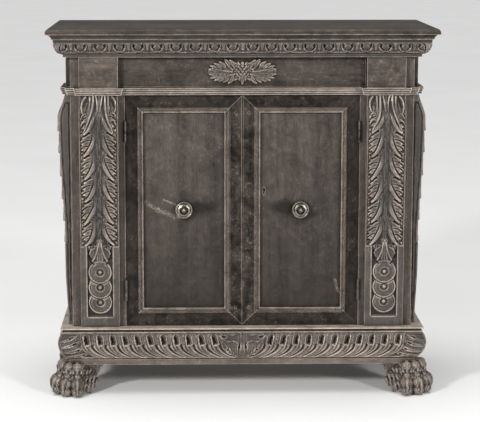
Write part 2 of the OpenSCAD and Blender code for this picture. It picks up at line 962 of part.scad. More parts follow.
// Door's half of a hinge: two outer knuckles that turn on the pin
module door_right_hinge_leaves() {
    outer_h = knuckle_h - knuckle_fit/2;
    color(iron)
    for (z = hinge_zs)
        difference() {
            union() {
                door_leaf_plate(z);
                translate([hinge_x, hinge_y, z + hinge_h/2 - outer_h]) cylinder(h = outer_h, r = knuckle_r);
                translate([hinge_x, hinge_y, z - hinge_h/2]) cylinder(h = outer_h, r = knuckle_r);
            }
            translate([hinge_x, hinge_y, z])
                cylinder(h = knuckle_h + knuckle_fit, r = knuckle_r + knuckle_fit, center = true);
            translate([hinge_x, hinge_y, z]) cylinder(h = hinge_h + 2, r = pin_r + pin_fit, center = true);
        }
}

module door_left_hinge_leaves() {
    on_left() door_right_hinge_leaves();
}

// Case's half of a hinge: the middle knuckle with its pin riveted in, headed at both ends
module frame_hinge(z) {
    head_h = 2;
    middle_h = knuckle_h - knuckle_fit;
    difference() {
        frame_leaf_plate(z);
        for (s = [-1, 1])
            translate([hinge_x, hinge_y, z + s*knuckle_h])
                cylinder(h = knuckle_h + 1, r = knuckle_r + knuckle_fit, center = true);
    }
    translate([hinge_x, hinge_y, z]) {
        cylinder(h = middle_h, r = knuckle_r, center = true);
        cylinder(h = hinge_h + 2, r = pin_r, center = true);
        for (s = [0, 1]) mirror([0, 0, s])
            translate([0, 0, hinge_h/2 + knuckle_fit]) cylinder(h = head_h, r = pin_r + 1.2);
    }
}

module hinge_frame_leaves() {
    color(iron)
    for (s = [0, 1], z = hinge_zs) mirror([s, 0, 0]) frame_hinge(z);
}

// Iron lock on the back of the right door: hollow for the key's bit, with a channel for the bolt
module lock_case() {
    wall = 2.5;
    key_w = 32;
    z0 = keyhole_up_z - lock_h/2;
    channel = [bolt_d/2 + bolt_fit, bolt_h/2 + bolt_fit];
    color(iron)
    difference() {
        span([lock_x0, door_back, z0], [lock_x0 + lock_w, door_back + lock_d, z0 + lock_h]);
        span([lock_x0 - 1, bolt_y - channel[0], bolt_z - channel[1]],
            [bolt_x0 + bolt_len + 2, bolt_y + channel[0], bolt_z + channel[1]]);
        span([keyhole_x - key_w/2, door_back + wall, keyhole_up_z - key_w/2],
            [keyhole_x + key_w/2, door_back + lock_d - wall, bolt_z]);
        keyhole(door_back - 1, door_back + lock_d/2);
    }
}

// Sliding bar with the notch that the key's bit works in
module lock_bolt() {
    notch = 8;
    color(iron)
    difference() {
        span([bolt_x0, bolt_y - bolt_d/2, bolt_z - bolt_h/2],
            [bolt_x0 + bolt_len, bolt_y + bolt_d/2, bolt_z + bolt_h/2]);
        translate([keyhole_x - notch, bolt_y - bolt_d/2 - 1, bolt_z - bolt_h/2 - 1])
            cube([notch, bolt_d + 2, notch*0.7]);
    }
}

// Staple on the back of the left door that the lock bolt shoots into
module lock_keeper() {
    ease_fit = 0.8;
    x1 = -door_x0 - keeper_edge;
    color(iron)
    difference() {
        span([x1 - keeper_w, door_back, bolt_z - bolt_h], [x1, door_back + lock_d, bolt_z + bolt_h]);
        span([x1 - keeper_w - 1, bolt_y - bolt_d/2 - ease_fit, bolt_z - bolt_h/2 - ease_fit],
            [x1 + 1, bolt_y + bolt_d/2 + ease_fit, bolt_z + bolt_h/2 + ease_fit]);
    }
}

// Upright bolt of the left door, with a finger stud
module inner_bolt() {
    stud_r = 3;
    stud_l = 16;
    color(iron)
    translate([rod_x, rod_y, rod_top - rod_len]) {
        cylinder(h = rod_len, r = rod_r);
        translate([0, 0, rod_len*0.45]) rotate([-90, 0, 0]) cylinder(h = stud_l, r = stud_r);
    }
}

// Plate on the left door with the two blocks that the upright bolt slides in
module inner_bolt_guides() {
    plate_w = guide_w + 4;
    color(iron)
    difference() {
        union() {
            span([rod_x - plate_w/2, door_back, rod_top - rod_len],
                [rod_x + plate_w/2, door_back + bolt_plate_t, rod_top - 8]);
            for (z = [rod_top - rod_len + 12, rod_top - 8 - 2*guide_h])
                span([rod_x - guide_w/2, door_back, z],
                    [rod_x + guide_w/2, rod_y + rod_r + 4, z + guide_h]);
        }
        translate([rod_x, rod_y, rod_top - rod_len - 1]) cylinder(h = rod_len + 2, r = rod_r + bolt_fit);
    }
}

module drawer_front() {
    color(walnut_light)
    difference() {
        span([-drawer_x, drawer_y, drawer_z0], [drawer_x, box_y, drawer_z1]);
        drawer_bottom();
    }
}

// Sides and back of the drawer, the sides grooved for its bottom
module drawer_box() {
    in_x = box_x - drawer_side_t;
    end_y = box_y + drawer_l;
    color(poplar)
    difference() {
        union() {
            for (s = [0, 1]) mirror([s, 0, 0]) span([in_x, box_y, box_z0], [box_x, end_y, box_z1]);
            span([-in_x, end_y - drawer_side_t, drawer_bottom_z + 1], [in_x, end_y, box_z1 - 10]);
        }
        drawer_bottom();
    }
}

module drawer_bottom() {
    x = box_x - drawer_side_t + drawer_groove;
    color(poplar)
    span([-x, box_y - drawer_groove, drawer_bottom_z],
        [x, box_y + drawer_l + 0.01, drawer_bottom_z + drawer_bottom_t]);
}

// Half the height of the carved ornament at u, from 0 in the middle to 1 at its tip
function spray(u, lobes = 6) =
    ornament_h/2*pow(1 - pow(u, 2), 0.6)*(0.86 + 0.14*cos(360*u*lobes)) + 1.5;

// Carved ornament that serves as the drawer's pull: a rosette between two sprays of lobes
module drawer_ornament() {
    rosette_r = 18;
    rosette_rise = 6;
    steps = 48;
    us = [for (i = [-steps:steps]) i/steps];
    color(walnut_light)
    translate([0, drawer_y, (z_frieze + z_cornice)/2]) rotate([90, 0, 0])
    union() {
        linear_extrude(ornament_t)
            polygon(concat([for (u = us) [u*ornament_w/2, spray(abs(u))]],
                [for (u = us) [-u*ornament_w/2, -spray(abs(u))]]));
        cylinder(h = ornament_t + rosette_rise, r = rosette_r);
    }
}

top_board();
cornice_front();
cornice_sides();
frieze_block_left();
frieze_block_right();
frieze_side_left();
frieze_side_right();
ledge_front();
ledge_sides();
side_board_left();
side_board_right();
front_stile_left();
front_stile_right();
back_boards();
bottom_board();
dust_board();
shelf();
shelf_cleats();
drawer_guides();
front_console_left();
front_console_right();
side_consoles_left();
side_consoles_right();
side_frame_left();
side_frame_right();
base_front();
base_left();
base_right();
plinth_frame();
foot_front_left();
foot_front_right();
foot_rear_left();
foot_rear_right();
door_left_hinge_stile();
door_left_meeting_stile();
door_left_rails();
door_left_panel();
door_left_moulding();
door_left_knob();
door_left_pegs();
door_left_hinge_leaves();
door_right_hinge_stile();
door_right_meeting_stile();
door_right_rails();
door_right_panel();
door_right_moulding();
door_right_knob();
door_right_pegs();
door_right_hinge_leaves();
hinge_frame_leaves();
lock_case();
lock_bolt();
lock_keeper();
inner_bolt();
inner_bolt_guides();
drawer_front();
drawer_box();
drawer_bottom();
drawer_ornament();
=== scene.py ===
"""Looks of a carved Tuscan credenza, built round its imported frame.

Sizes in this script are millimetres, and become metres where a mesh is made.
Heights of carving are measured from the outline of the piece: 0 is its crest and cuts are negative.
"""
import math

import bmesh
import bpy
import numpy as np
from mathutils import Matrix, Vector


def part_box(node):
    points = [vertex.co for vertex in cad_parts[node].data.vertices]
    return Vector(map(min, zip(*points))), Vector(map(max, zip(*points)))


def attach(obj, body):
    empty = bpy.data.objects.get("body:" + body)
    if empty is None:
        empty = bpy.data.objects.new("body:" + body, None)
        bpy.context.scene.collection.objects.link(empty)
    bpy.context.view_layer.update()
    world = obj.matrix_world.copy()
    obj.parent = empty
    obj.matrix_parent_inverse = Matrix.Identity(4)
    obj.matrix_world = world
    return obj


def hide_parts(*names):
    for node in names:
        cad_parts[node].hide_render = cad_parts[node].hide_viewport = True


MM = 0.001

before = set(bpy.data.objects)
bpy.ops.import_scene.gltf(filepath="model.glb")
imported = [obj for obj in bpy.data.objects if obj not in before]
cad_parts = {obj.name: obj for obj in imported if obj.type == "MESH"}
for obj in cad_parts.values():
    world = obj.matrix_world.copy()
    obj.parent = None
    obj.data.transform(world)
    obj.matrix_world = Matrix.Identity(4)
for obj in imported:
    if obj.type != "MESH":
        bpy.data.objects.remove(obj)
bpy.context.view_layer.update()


def extent(node):
    """Lowest and highest corner of a CAD node in millimetres."""
    low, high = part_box(node)
    return np.array(low) / MM, np.array(high) / MM


# Planes of the case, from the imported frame
board_low, board_high = extent("side_board_right")
HALF = board_high[0]
BACK_Y = board_high[1]
Z_TORUS = board_low[2]
FACE_Y = extent("front_stile_right")[0][1]
Z_OPEN = extent("base_front")[1][2]
Z_LEDGE = extent("ledge_front")[0][2]
Z_CORNICE, Z_TOP = (corner[2] for corner in extent("cornice_front"))
CONSOLE_X0, CONSOLE_X1 = (corner[0] for corner in extent("front_console_right"))
CONSOLE_W = CONSOLE_X1 - CONSOLE_X0
SIDE_Y0, SIDE_Y1 = (corner[1] for corner in extent("side_consoles_right"))
OPENING_H = Z_LEDGE - Z_OPEN


# Meshes

def add_object(name, data):
    """A new object in the scene."""
    obj = bpy.data.objects.new(name, data)
    bpy.context.scene.collection.objects.link(obj)
    return obj


def mesh_piece(node, verts, faces, body, material, cavity, crease, weld=True):
    """A closed mesh from corners in millimetres that stands for a CAD node and rides on its body; creases
    flatter than that many degrees are shaded soft."""
    name = node + "_carved"
    mesh = bpy.data.meshes.new(name)
    mesh.from_pydata((np.asarray(verts, float) * MM).tolist(), [], faces)
    layer = mesh.attributes.new("cavity", "FLOAT", "POINT")
    layer.data.foreach_set("value", np.asarray(cavity, np.float32).ravel())
    bm = bmesh.new()
    bm.from_mesh(mesh)
    if weld:
        bmesh.ops.remove_doubles(bm, verts=bm.verts, dist=2e-6)
    bmesh.ops.recalc_face_normals(bm, faces=bm.faces)
    bm.to_mesh(mesh)
    bm.free()
    mesh.shade_smooth()
    mesh.set_sharp_from_angle(angle=math.radians(crease))
    mesh.materials.append(material)
    obj = add_object(name, mesh)
    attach(obj, body)
    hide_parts(node)


def loft(rings):
    """Corners and faces of a solid through rings of corners, capped at both ends."""
    count, size = rings.shape[:2]
    index = np.arange(count * size).reshape(count, size)
    here, there = index[:-1], index[1:]
    quads = np.stack([here, there, np.roll(there, -1, 1), np.roll(here, -1, 1)], -1).reshape(-1, 4)
    return rings.reshape(-1, 3), quads.tolist() + [index[0][::-1].tolist(), index[-1].tolist()]


def join(*parts):
    """Several (corners, faces) pairs as one."""
    verts, faces, start = [], [], 0
    for v, f in parts:
        verts.append(v)
        faces += [[i + start for i in face] for face in f]
        start += len(v)
    return np.concatenate(verts), faces


def blurred(heights, radius):
    """Heights averaged over about that many cells each way, with the edges carried on."""
    reach = max(1, int(radius))
    kernel = np.exp(-0.5 * (np.arange(-reach, reach + 1) / (0.5 * reach)) ** 2)
    kernel /= kernel.sum()
    out = heights
    for axis in (0, 1):
        pad = [(0, 0), (0, 0)]
        pad[axis] = (reach, reach)
        wide = np.pad(out, pad, mode="edge")
        size = out.shape[axis]
        out = sum(k * np.take(wide, range(i, i + size), axis) for i, k in enumerate(kernel))
    return out


def cavity_of(heights, cell, reach=6.0, depth=3.5, deep=0.0):
    """From -1 on ridges to 1 in pits, against what lies within reach; deep darkens all low ground. The
    finish makes high values dark with wax and painted shade, and low ones light with rubbing and painted
    highlights.
    """
    low = deep * np.clip((-heights - 2.5) / 7, 0, 1)
    return np.clip((blurred(heights, reach / cell) - heights) / depth + low, -1, 1)


# Carving

def bezier(p0, p1, p2, n=14):
    t = np.linspace(0, 1, n)[:, None]
    p0, p1, p2 = (np.array(p, float) for p in (p0, p1, p2))
    return (1 - t) ** 2 * p0 + 2 * t * (1 - t) * p1 + t ** 2 * p2


def fall(share):
    """Drop of a quarter circle: 0 at its crest and 1 at one radius from it."""
    return 1 - np.sqrt(np.clip(1 - share ** 2, 0, 1))


class Relief:
    """Heights over a grid of u (across) and v (up), worked with strokes as a carver's gouge would."""

    def __init__(self, us, vs, ground):
        self.u, self.v = np.meshgrid(us, vs)
        self.h = np.full(self.u.shape, float(ground))

    def near(self, points, reach):
        """Slices of the grid within reach of the points, or None."""
        low, high = points.min(0) - reach, points.max(0) + reach
        cols = np.nonzero((self.u >= low[0]).any(0) & (self.u <= high[0]).any(0))[0]
        rows = np.nonzero((self.v >= low[1]).any(1) & (self.v <= high[1]).any(1))[0]
        if not len(cols) or not len(rows):
            return None
        return slice(rows[0], rows[-1] + 1), slice(cols[0], cols[-1] + 1)

    def stroke(self, points, radii, crests, drop, settle):
        """Rounded stroke along a line, its radius and crest changing on the way. Beside its crest it goes
        down by drop times its radius, or up for a groove; settle picks from the old and new heights."""
        points = np.asarray(points, float)
        n = len(points)
        radii = np.interp(np.linspace(0, 1, n), np.linspace(0, 1, len(radii)), radii)
        crests = np.interp(np.linspace(0, 1, n), np.linspace(0, 1, len(crests)), crests)
        where = self.near(points, radii.max())
        if where is None:
            return
        u, v = self.u[where], self.v[where]
        share = np.full(u.shape, 9.0)
        radius, crest = np.ones(u.shape), np.zeros(u.shape)
        for i in range(n - 1):
            a, d = points[i], points[i + 1] - points[i]
            t = np.clip(((u - a[0]) * d[0] + (v - a[1]) * d[1]) / max(d @ d, 1e-9), 0, 1)
            r = radii[i] + (radii[i + 1] - radii[i]) * t
            here = np.hypot(u - a[0] - t * d[0], v - a[1] - t * d[1]) / r
            closer = here < share
            share = np.where(closer, here, share)
            radius = np.where(closer, r, radius)
            crest = np.where(closer, crests[i] + (crests[i + 1] - crests[i]) * t, crest)
        old, new = self.h[where], crest - drop * radius * fall(share)
        self.h[where] = np.where(share < 1, settle(old, new), old)

    def raise_line(self, points, radii, crests, steep=1.0):
        """Ridge that stands out of whatever is lower."""
        self.stroke(points, radii, crests, steep, np.maximum)

    def cut_line(self, points, radii, floors, steep=1.0):
        """Groove down to the given floors."""
        self.stroke(points, radii, floors, -steep, np.minimum)

    def lay(self, points, radii, crests, steep=0.3):
        """Tongue that covers whatever lies under it."""
        self.stroke(points, radii, crests, steep, lambda old, new: new)


def bead(q, at, r, crest):
    """Rounded bead of radius r standing at distance at, far below the ground beside it."""
    share = np.abs(q - at) / r
    return np.where(share < 1, crest - r * fall(share), -30)


def disc_heights(r, rim):
    """Turned disc: a button, a hollow round it, a broad rounded band and a thin rim."""
    button, band, band_w = 5.6, 20.5, 9.5
    h = np.full(r.shape, -8.5)
    share = np.abs(r - band) / band_w
    h = np.where(share < 1, np.maximum(h, -0.6 - 0.36 * band_w * fall(share)), h)
    h = np.maximum(h, bead(r, rim - 2.6, 2.4, -1.2))
    h = np.where(r < button, 1.0 - 0.8 * button * fall(r / button), h)
    return np.where(r > rim, -10.0, h)


# Heights above the floor of each leaf pair's foot and of each disc's middle
LEAF_FEET = (465, 533, 599, 669, 738, 808)
DISC_MIDDLES = (285, 332, 379)


def leaf(work, foot):
    """Pair of leaves over the roots of the pair below: a lobed tongue with a strong rib by the stem."""
    def at(u, z):
        return (u, foot + z)

    tongue = bezier(at(24, 98), at(34, 44), at(42, 2), 24)
    widths = np.array([10, 17, 19.5, 16, 5])
    work.cut_line(tongue, widths + 2.2, [-9.5, -9.5], 0)
    work.cut_line([at(26, 1), at(43, -9)], [2.2, 3.4], [-14, -15], 1.2)
    work.lay(tongue, widths, [-8, -4.6, -3.0, -2.2, -2.4], 0.24)
    # Lobes: root, bend, tip, half width and crest
    for root, bend, tip, r, crest in [
            ((14, 74), (34, 80), (53, 60), 6.2, -3.6), ((18, 55), (38, 60), (55, 40), 6.6, -2.6),
            ((24, 36), (42, 40), (55, 22), 6.2, -1.6), ((32, 18), (44, 20), (52, 5), 4.8, -0.8)]:
        lobe = bezier(at(*root), at(*bend), at(*tip))
        work.cut_line(lobe + (-1.5, -r - 0.4), [1.0, 1.4, 2.2], [-8.5, -9, -11], 1.0)
        work.raise_line(lobe, [r * 0.5, r, r * 0.75], [crest - 2.5, crest, crest - 1.4], 0.6)
    for u, z in [(47, 51), (48, 31), (45, 13)]:
        work.cut_line([at(u, z), at(u + 6, z - 3)], [2.0, 2.8], [-12, -11], 1.3)
    rib = bezier(at(9.5, 86), at(9.5, 26), at(43, -4), 26)
    work.cut_line(rib + (6.6, 2.4), [1.2, 1.7, 1.2], [-8, -9, -7], 1.1)
    work.raise_line(rib, [2.4, 5.0, 6.6, 5.4, 2.2], [-8, -5, -1.0, 1.2, 1.0], 0.85)


def crown_of_leaves(work):
    """Top of the console, where the highest leaves spring from under the ledge."""
    for line, r, crest in [
            (((40, 914), (59, 892), (46, 866)), 3.4, -1.2), (((46, 866), (29, 874), (35, 894)), 3.0, -2.4),
            (((28, 914), (25, 884), (33, 852)), 4.0, -2.0), (((36, 868), (48, 864), (53, 846)), 3.2, -2.0),
            (((36, 848), (48, 846), (53, 828)), 3.2, -2.2), (((19, 852), (15, 840), (17, 824)), 4.0, -4.0)]:
        work.raise_line(bezier(*line), [r * 0.7, r, r * 0.7], [crest - 1, crest, crest - 1], 1.2)
    for line in [((34, 908), (32, 888), (38, 868)), ((40, 860), (47, 858), (50, 846)),
                 ((40, 840), (47, 838), (50, 826)), ((22, 900), (21, 874), (27, 848))]:
        work.cut_line(bezier(*line), [1.6, 2.4, 1.6], [-8, -9, -8], 1.2)
    rib = bezier((18, 917), (15, 866), (45, 808), 24)
    work.raise_line(rib, [3.0, 4.0, 4.2, 2.2], [-1.5, 0, 0.8, -0.6], 1.15)
    work.raise_line(bezier((11, 917), (5, 902), (4, 872)), [2.4, 2.8, 1.8], [-1.2, -1.0, -3], 1.1)


def last_leaf(us, zs):
    """Small leaf that hangs over the highest disc; far below the ground where there is no leaf."""
    tip = Relief(us, zs, -30)
    tip.raise_line([(0, 478), (0, 440), (0, 397)], [16, 22, 6], [-5, -5, -5.5], 0.15)
    tip.raise_line([(24, 478), (31, 462), (30, 452)], [9, 9.5, 7], [-4, -3.2, -4.5], 0.6)
    tip.raise_line([(17, 446), (22, 430), (17, 412)], [9, 9, 5], [-5, -4.2, -5.5], 0.5)
    for root, bend, end, r, crest in [
            ((4, 468), (6, 440), (22, 414), 3.6, 0.2), ((14, 478), (30, 478), (38, 458), 2.8, -1.6),
            ((3, 444), (9, 424), (8, 404), 2.4, -1.8), ((16, 452), (29, 450), (31, 434), 2.4, -2.2)]:
        tip.raise_line(bezier(root, bend, end), [r * 0.7, r, r * 0.6], [crest - 1, crest, crest - 1], 1.2)
    tip.cut_line([(28, 464), (27, 456)], [2.2, 2.2], [-8, -8], 1.0)
    tip.raise_line([(0, 478), (0, 396)], [2.6, 2.0], [-2.0, -3], 1.2)
    return tip.h


def console_relief(us, zs, seed):
    """Leaves over three discs; the seed says how the hand strayed from the drawing."""
    ground, half_w, border, floor_z = -9.0, CONSOLE_W / 2, 37.5, 241
    mirrored = np.abs(us)
    work = Relief(us, zs, ground)
    across, up = np.abs(work.u), work.v
    sway = 1.5 * np.sin(up / 41 + seed) + 0.9 * np.sin(up / 17.3 + work.u / 31 + 2 * seed)
    lift = 0.045 * work.u * np.sin(up / 57 + 1.7 * seed) + 1.3 * np.sin(up / 23 + work.u / 12 + seed)
    work.u, work.v = np.abs(work.u + sway), up + lift
    for foot in LEAF_FEET:
        leaf(work, foot)
    crown_of_leaves(work)
    # Stem of three reeds down the middle
    for u, r in [(0.0, 2.8), (5.4, 2.7)]:
        taper = [(u * 1.3, 917), (u, 850), (u, 640), (u * 0.8, 540), (u * 0.5, 452)]
        work.raise_line(taper, [r, r, r, r * 0.9, r * 0.7], [-3.5, -7.0, -7.6, -7.6, -7.0], 1.2)
    work.h = np.where(across > half_w - 3.2, -5.6, np.where(across > half_w - 4.8, -10.0, work.h))
    # Discs between plain borders, under the last leaf
    lower = np.full(work.h.shape, ground - 1)
    for z in DISC_MIDDLES:
        r = np.hypot(across, up - z)
        lower = np.where(r < 37, disc_heights(r, 35.5), lower)
    tip = last_leaf(mirrored, zs)
    shade = Relief(mirrored, zs, 0)
    shade.cut_line(bezier((34, 440), (36, 420), (20, 406), 18), [3.0, 3.6, 2.6], [-14, -14, -13], 1.6)
    lower = np.maximum(np.minimum(lower, np.where(up > 400, shade.h, 30)), tip)
    plain = (across > border) | (up < floor_z)
    lower = np.where(plain, -2.0, lower)
    seam = (np.abs(across - border) < 1.4) & (up > floor_z - 1.4)
    seam |= (np.abs(up - floor_z) < 1.4) & (across < border)
    lower = np.where(seam, -9.0, lower)
    joined = np.maximum(work.h, np.where((up < LEAF_FEET[0] + 12) & (across < 9), tip, -30))
    return np.where(up < LEAF_FEET[0] - 5, lower, joined)


def ease(a, b, u):
    return a + (b - a) * (1 - np.cos(np.pi * np.clip(u, 0, 1))) / 2


def console_projection(zs):
    """Projection of a console's crest at each height, as in the frame's own outline."""
    foot, waist, full, top = 18.0, 25.0, 43.0, 23.0
    z_waist = Z_OPEN + 0.27 * OPENING_H
    z_full = Z_OPEN + 0.89 * OPENING_H
    low = ease(foot, waist, (zs - Z_OPEN) / (z_waist - Z_OPEN))
    mid = ease(waist, full, (zs - z_waist) / (z_full - z_waist))
    high = ease(full, top, (zs - z_full) / (Z_LEDGE - z_full))
    return np.where(zs < z_waist, low, np.where(zs < z_full, mid, high))


def console_mesh(cell, seed):
    """Console as corners (across, projection, height) and faces, with its cavity values."""
    us = np.linspace(-CONSOLE_W / 2, CONSOLE_W / 2, round(CONSOLE_W / cell) + 1)
    zs = np.linspace(Z_OPEN, Z_LEDGE, round(OPENING_H / cell) + 1)
    heights = console_relief(us, zs, seed)
    front = np.maximum(console_projection(zs)[:, None] + heights, 4.0)
    columns = 24
    border, groove, groove_w, head_z = 3.0, 3.4, 3.0, 893
    dark = cavity_of(heights, cell, deep=0.55)
    rings, cavity = [], []
    for i, z in enumerate(zs):
        # Side face: a long groove round a raised field, between borders at the front and the back
        depth = front[i, 0]
        ps = np.linspace(0, depth, columns + 1)
        inset = np.minimum(ps - border, depth - border * 1.6 - ps)
        inset = np.minimum(np.minimum(inset, (head_z - z) * 0.7), z - (Z_OPEN + 10))
        sink = groove * np.clip(inset / 1.0, 0, 1) * np.clip(1.25 - (inset - groove_w) / 2.2, 0.2, 1)
        left = np.stack([sink - CONSOLE_W / 2, ps, np.full(columns + 1, z)], -1)
        right = left[::-1] * np.array([-1, 1, 1])
        middle = np.stack([us[1:-1], front[i, 1:-1], np.full(len(us) - 2, z)], -1)
        rings.append(np.concatenate([left, middle, right]))
        # Side face cavity values: dark in the groove, as wax and painted shade, and a little light on the
        # borders, as rubbing and painted highlight
        side_dark = np.where(sink > groove * 0.7, 0.8, np.where(sink > 0.1, 0.0, -0.15))
        cavity.append(np.concatenate([side_dark, dark[i, 1:-1], side_dark[::-1]]))
    verts, faces = loft(np.array(rings))
    return verts, faces, np.array(cavity)


def place(points, where):
    """Corners given as (across, projection, height), set on the front or on a side of the case."""
    u, p, z = points[:, 0], points[:, 1], points[:, 2]
    side, centre = where
    if side == "front":
        return np.stack([centre + u, FACE_Y - p, z], -1)
    return np.stack([side * (HALF + p), centre + u, z], -1)


# Mouldings that run round the front and the two sides

def profile_normals(points):
    """Outward unit normals of an open outline of (projection, height)."""
    tangent = np.gradient(points, axis=0)
    tangent /= np.linalg.norm(tangent, axis=1)[:, None]
    return np.stack([tangent[:, 1], -tangent[:, 0]], -1)


def run_rings(points, normals, heights, back, stations, place_run):
    """Rings of corners of a run: the outline moved by the carving, closed by corners behind it."""
    out = points[None, :, 0] + normals[None, :, 0] * heights
    up = points[None, :, 1] + normals[None, :, 1] * heights
    behind = np.broadcast_to(np.array(back)[None], (len(stations), len(back), 2))
    out = np.concatenate([out, behind[..., 0]], 1)
    up = np.concatenate([up, behind[..., 1]], 1)
    return place_run(stations[:, None] + 0 * out, out, up)


def along_front(x, out, up):
    """Front run, cut by the two mitre planes."""
    reach = HALF + out
    return np.stack([np.clip(x, -reach, reach), FACE_Y - out, up], -1)


def along_side(side):
    """Side run from the mitre plane to the back."""
    def run(y, out, up):
        return np.stack([side * (HALF + out), np.maximum(y, FACE_Y - out), up], -1)
    return run


def carved_run(front, sides, points, back, carve, light_and_tone, cell, corner_out, material):
    """Carved front and side pieces of a moulding. sides lists each side node with the sides of the case,
    1 or -1, that it stands on. carve gives heights from the distance to the corner, the height, the
    distance of the run's middle (None on a side) and the lead that the mitre has over the corner. The
    next argument is added to the cavity values along the outline, to paint highlights on arrises, shade
    in coves and a darker tone."""
    normals = profile_normals(points)
    reach = points[:, 0].max()
    front_x = np.linspace(-HALF - reach, HALF + reach, round(2 * (HALF + reach) / cell) + 1)
    side_y = np.linspace(FACE_Y - reach, BACK_Y, round((BACK_Y - FACE_Y + reach) / cell) + 1)
    half_run = HALF + corner_out
    jobs = [(front, front_x, half_run - np.abs(front_x), half_run, [along_front])]
    side_corner = side_y - FACE_Y + corner_out
    jobs += [(node, side_y, side_corner, None, [along_side(s) for s in which]) for node, which in sides]
    for node, stations, corner, middle, runs in jobs:
        heights = carve(corner, points[:, 1], middle, points[:, 0] - corner_out).T
        dark = np.clip(cavity_of(heights, cell, deep=0.5) + light_and_tone, -1, 1)
        dark = np.concatenate([dark, np.zeros((len(stations), len(back)))], 1).ravel()
        rings = [run_rings(points, normals, heights, back, stations, run) for run in runs]
        verts, faces = join(*map(loft, rings))
        mesh_piece(node, verts, faces, "case", material, np.tile(dark, len(runs)), crease=40)


def cornice_points():
    """Fillet and ovolo of the cornice, from below, as projection and height."""
    foot, top_out, fillet = 20.5, 47.0, 9.0
    z0 = Z_CORNICE + fillet
    t = np.radians(np.linspace(0, 90, 46))
    ovolo = np.stack([foot + 1 + (top_out - foot - 1) * np.sin(t), Z_TOP - (Z_TOP - z0) * np.cos(t)], -1)
    plain = np.stack([np.full(5, foot), np.linspace(Z_CORNICE, z0, 5)], -1)
    return np.concatenate([plain, ovolo])


EGG_PITCH = 56.6


def egg_and_dart(corner, z, half_run, lead):
    """Eggs in their shells with darts between, and a leaf on the corner."""
    u, v = np.meshgrid(corner, z)
    band_top, band_foot, egg_z = 1073.5, 1046.0, 1061.0
    strayed = u + 1.1 * np.sin(u / 37) + 0.6 * np.sin(v / 9 + u / 23)
    a = np.abs((strayed + EGG_PITCH / 2) % EGG_PITCH - EGG_PITCH / 2)
    h = np.full(u.shape, -3.4)
    shell = np.hypot(a / 17.0, (v - egg_z - 1) / 15.5)
    open_top = v < egg_z + 9
    h = np.where((shell < 1.0) & open_top, -6.5, h)
    h = np.where((shell < 1.25) & (shell > 1.06) & open_top, -5.0, h)
    h = np.maximum(h, np.where(v < egg_z + 12, bead(shell * 16, 15.4, 2.4, 0.2), -30))
    egg = np.hypot(a / 10.5, (v - egg_z) / 11.5)
    h = np.maximum(h, np.where(egg < 1, 1.0 - 5.5 * fall(egg), -30))
    pit = np.hypot((a - 13.6) / 3.4, (v - 1066.0) / 7.0)
    h = np.where(pit < 1, -12.5, h)
    # Wedge of a dart between two shells, with a sunk line down its middle
    dart = EGG_PITCH / 2 - a
    width = np.interp(v, [band_foot, band_top], [1.8, 8.0])
    h = np.where(dart < width, -0.4 - 2.2 * (dart / width) ** 2, h)
    h = np.where((dart < 0.8) & (v > 1056), -2.6, h)
    # Corner leaf
    leaf_w = np.interp(v, [band_foot, 1062, band_top], [7, 16, 22])
    off = np.abs(u + lead[:, None])
    vein = np.abs(np.sin((off + (v - band_foot) * 0.8) / 7.0 * np.pi))
    leaf_h = 0.8 - 2.6 * (1 - vein) - 1.5 * (off / leaf_w) ** 3
    h = np.where(off < leaf_w, leaf_h, np.where(off < leaf_w + 3, -7.0, h))
    h = np.where(off < 1.8, 1.0, h)
    h = np.where(v > band_top, 0.0, h)
    h = np.where(np.abs(v - band_top) < 0.9, -2.5, h)
    h = np.where(v < band_foot, -0.2, h)
    return np.where(v < Z_CORNICE + 9.5, 0.0, h)


def base_points():
    """Torus, quirk, cove and cap, from below, as projection and height."""
    torus_full, torus_under, torus_over, quirk, cap_edge = 59.0, 28.0, 12.0, 7.0, 3.0
    out = extent("base_front")[0][1]
    torus_out = FACE_Y - out
    cap_out = torus_out - 6.5
    z_cap = Z_OPEN - 10.0
    z_full = Z_TORUS + torus_full
    lower = np.linspace(1, 0, 28)
    upper = np.linspace(0, 1, 16)[1:]
    cove = np.radians(np.linspace(0, 90, 7))
    cove_x = torus_out - torus_over - quirk
    return np.concatenate([
        np.stack([torus_out - torus_under * lower ** 2, z_full - torus_full * lower], -1),
        np.stack([torus_out - torus_over * upper ** 2, z_full + (z_cap - z_full) * upper], -1),
        np.stack([cove_x + (cap_out - 1 - cove_x) * (1 - np.cos(cove)),
                  z_cap + (10 - cap_edge) * np.sin(cove)], -1),
        [[cap_out, Z_OPEN - cap_edge], [cap_out, Z_OPEN - 1], [cap_out - 1, Z_OPEN], [cap_out - 4, Z_OPEN],
         [cap_out - 20, Z_OPEN], [cap_out - 24, Z_OPEN], [4.5, Z_OPEN]]])


FLUTE_PITCH = 38.7
FLUTE_FIRST = 68.5


def flute_drift(z):
    """How far a flute has swept away from the corner at a height."""
    z_top, z_turn, z_foot = 190.0, 157.0, 108.0
    return np.where(z > z_turn, 6 * (z_top - z) / (z_top - z_turn),
                    6 + 53 * (np.clip(z_turn - z, 0, None) / (z_turn - z_foot)) ** 2.1)


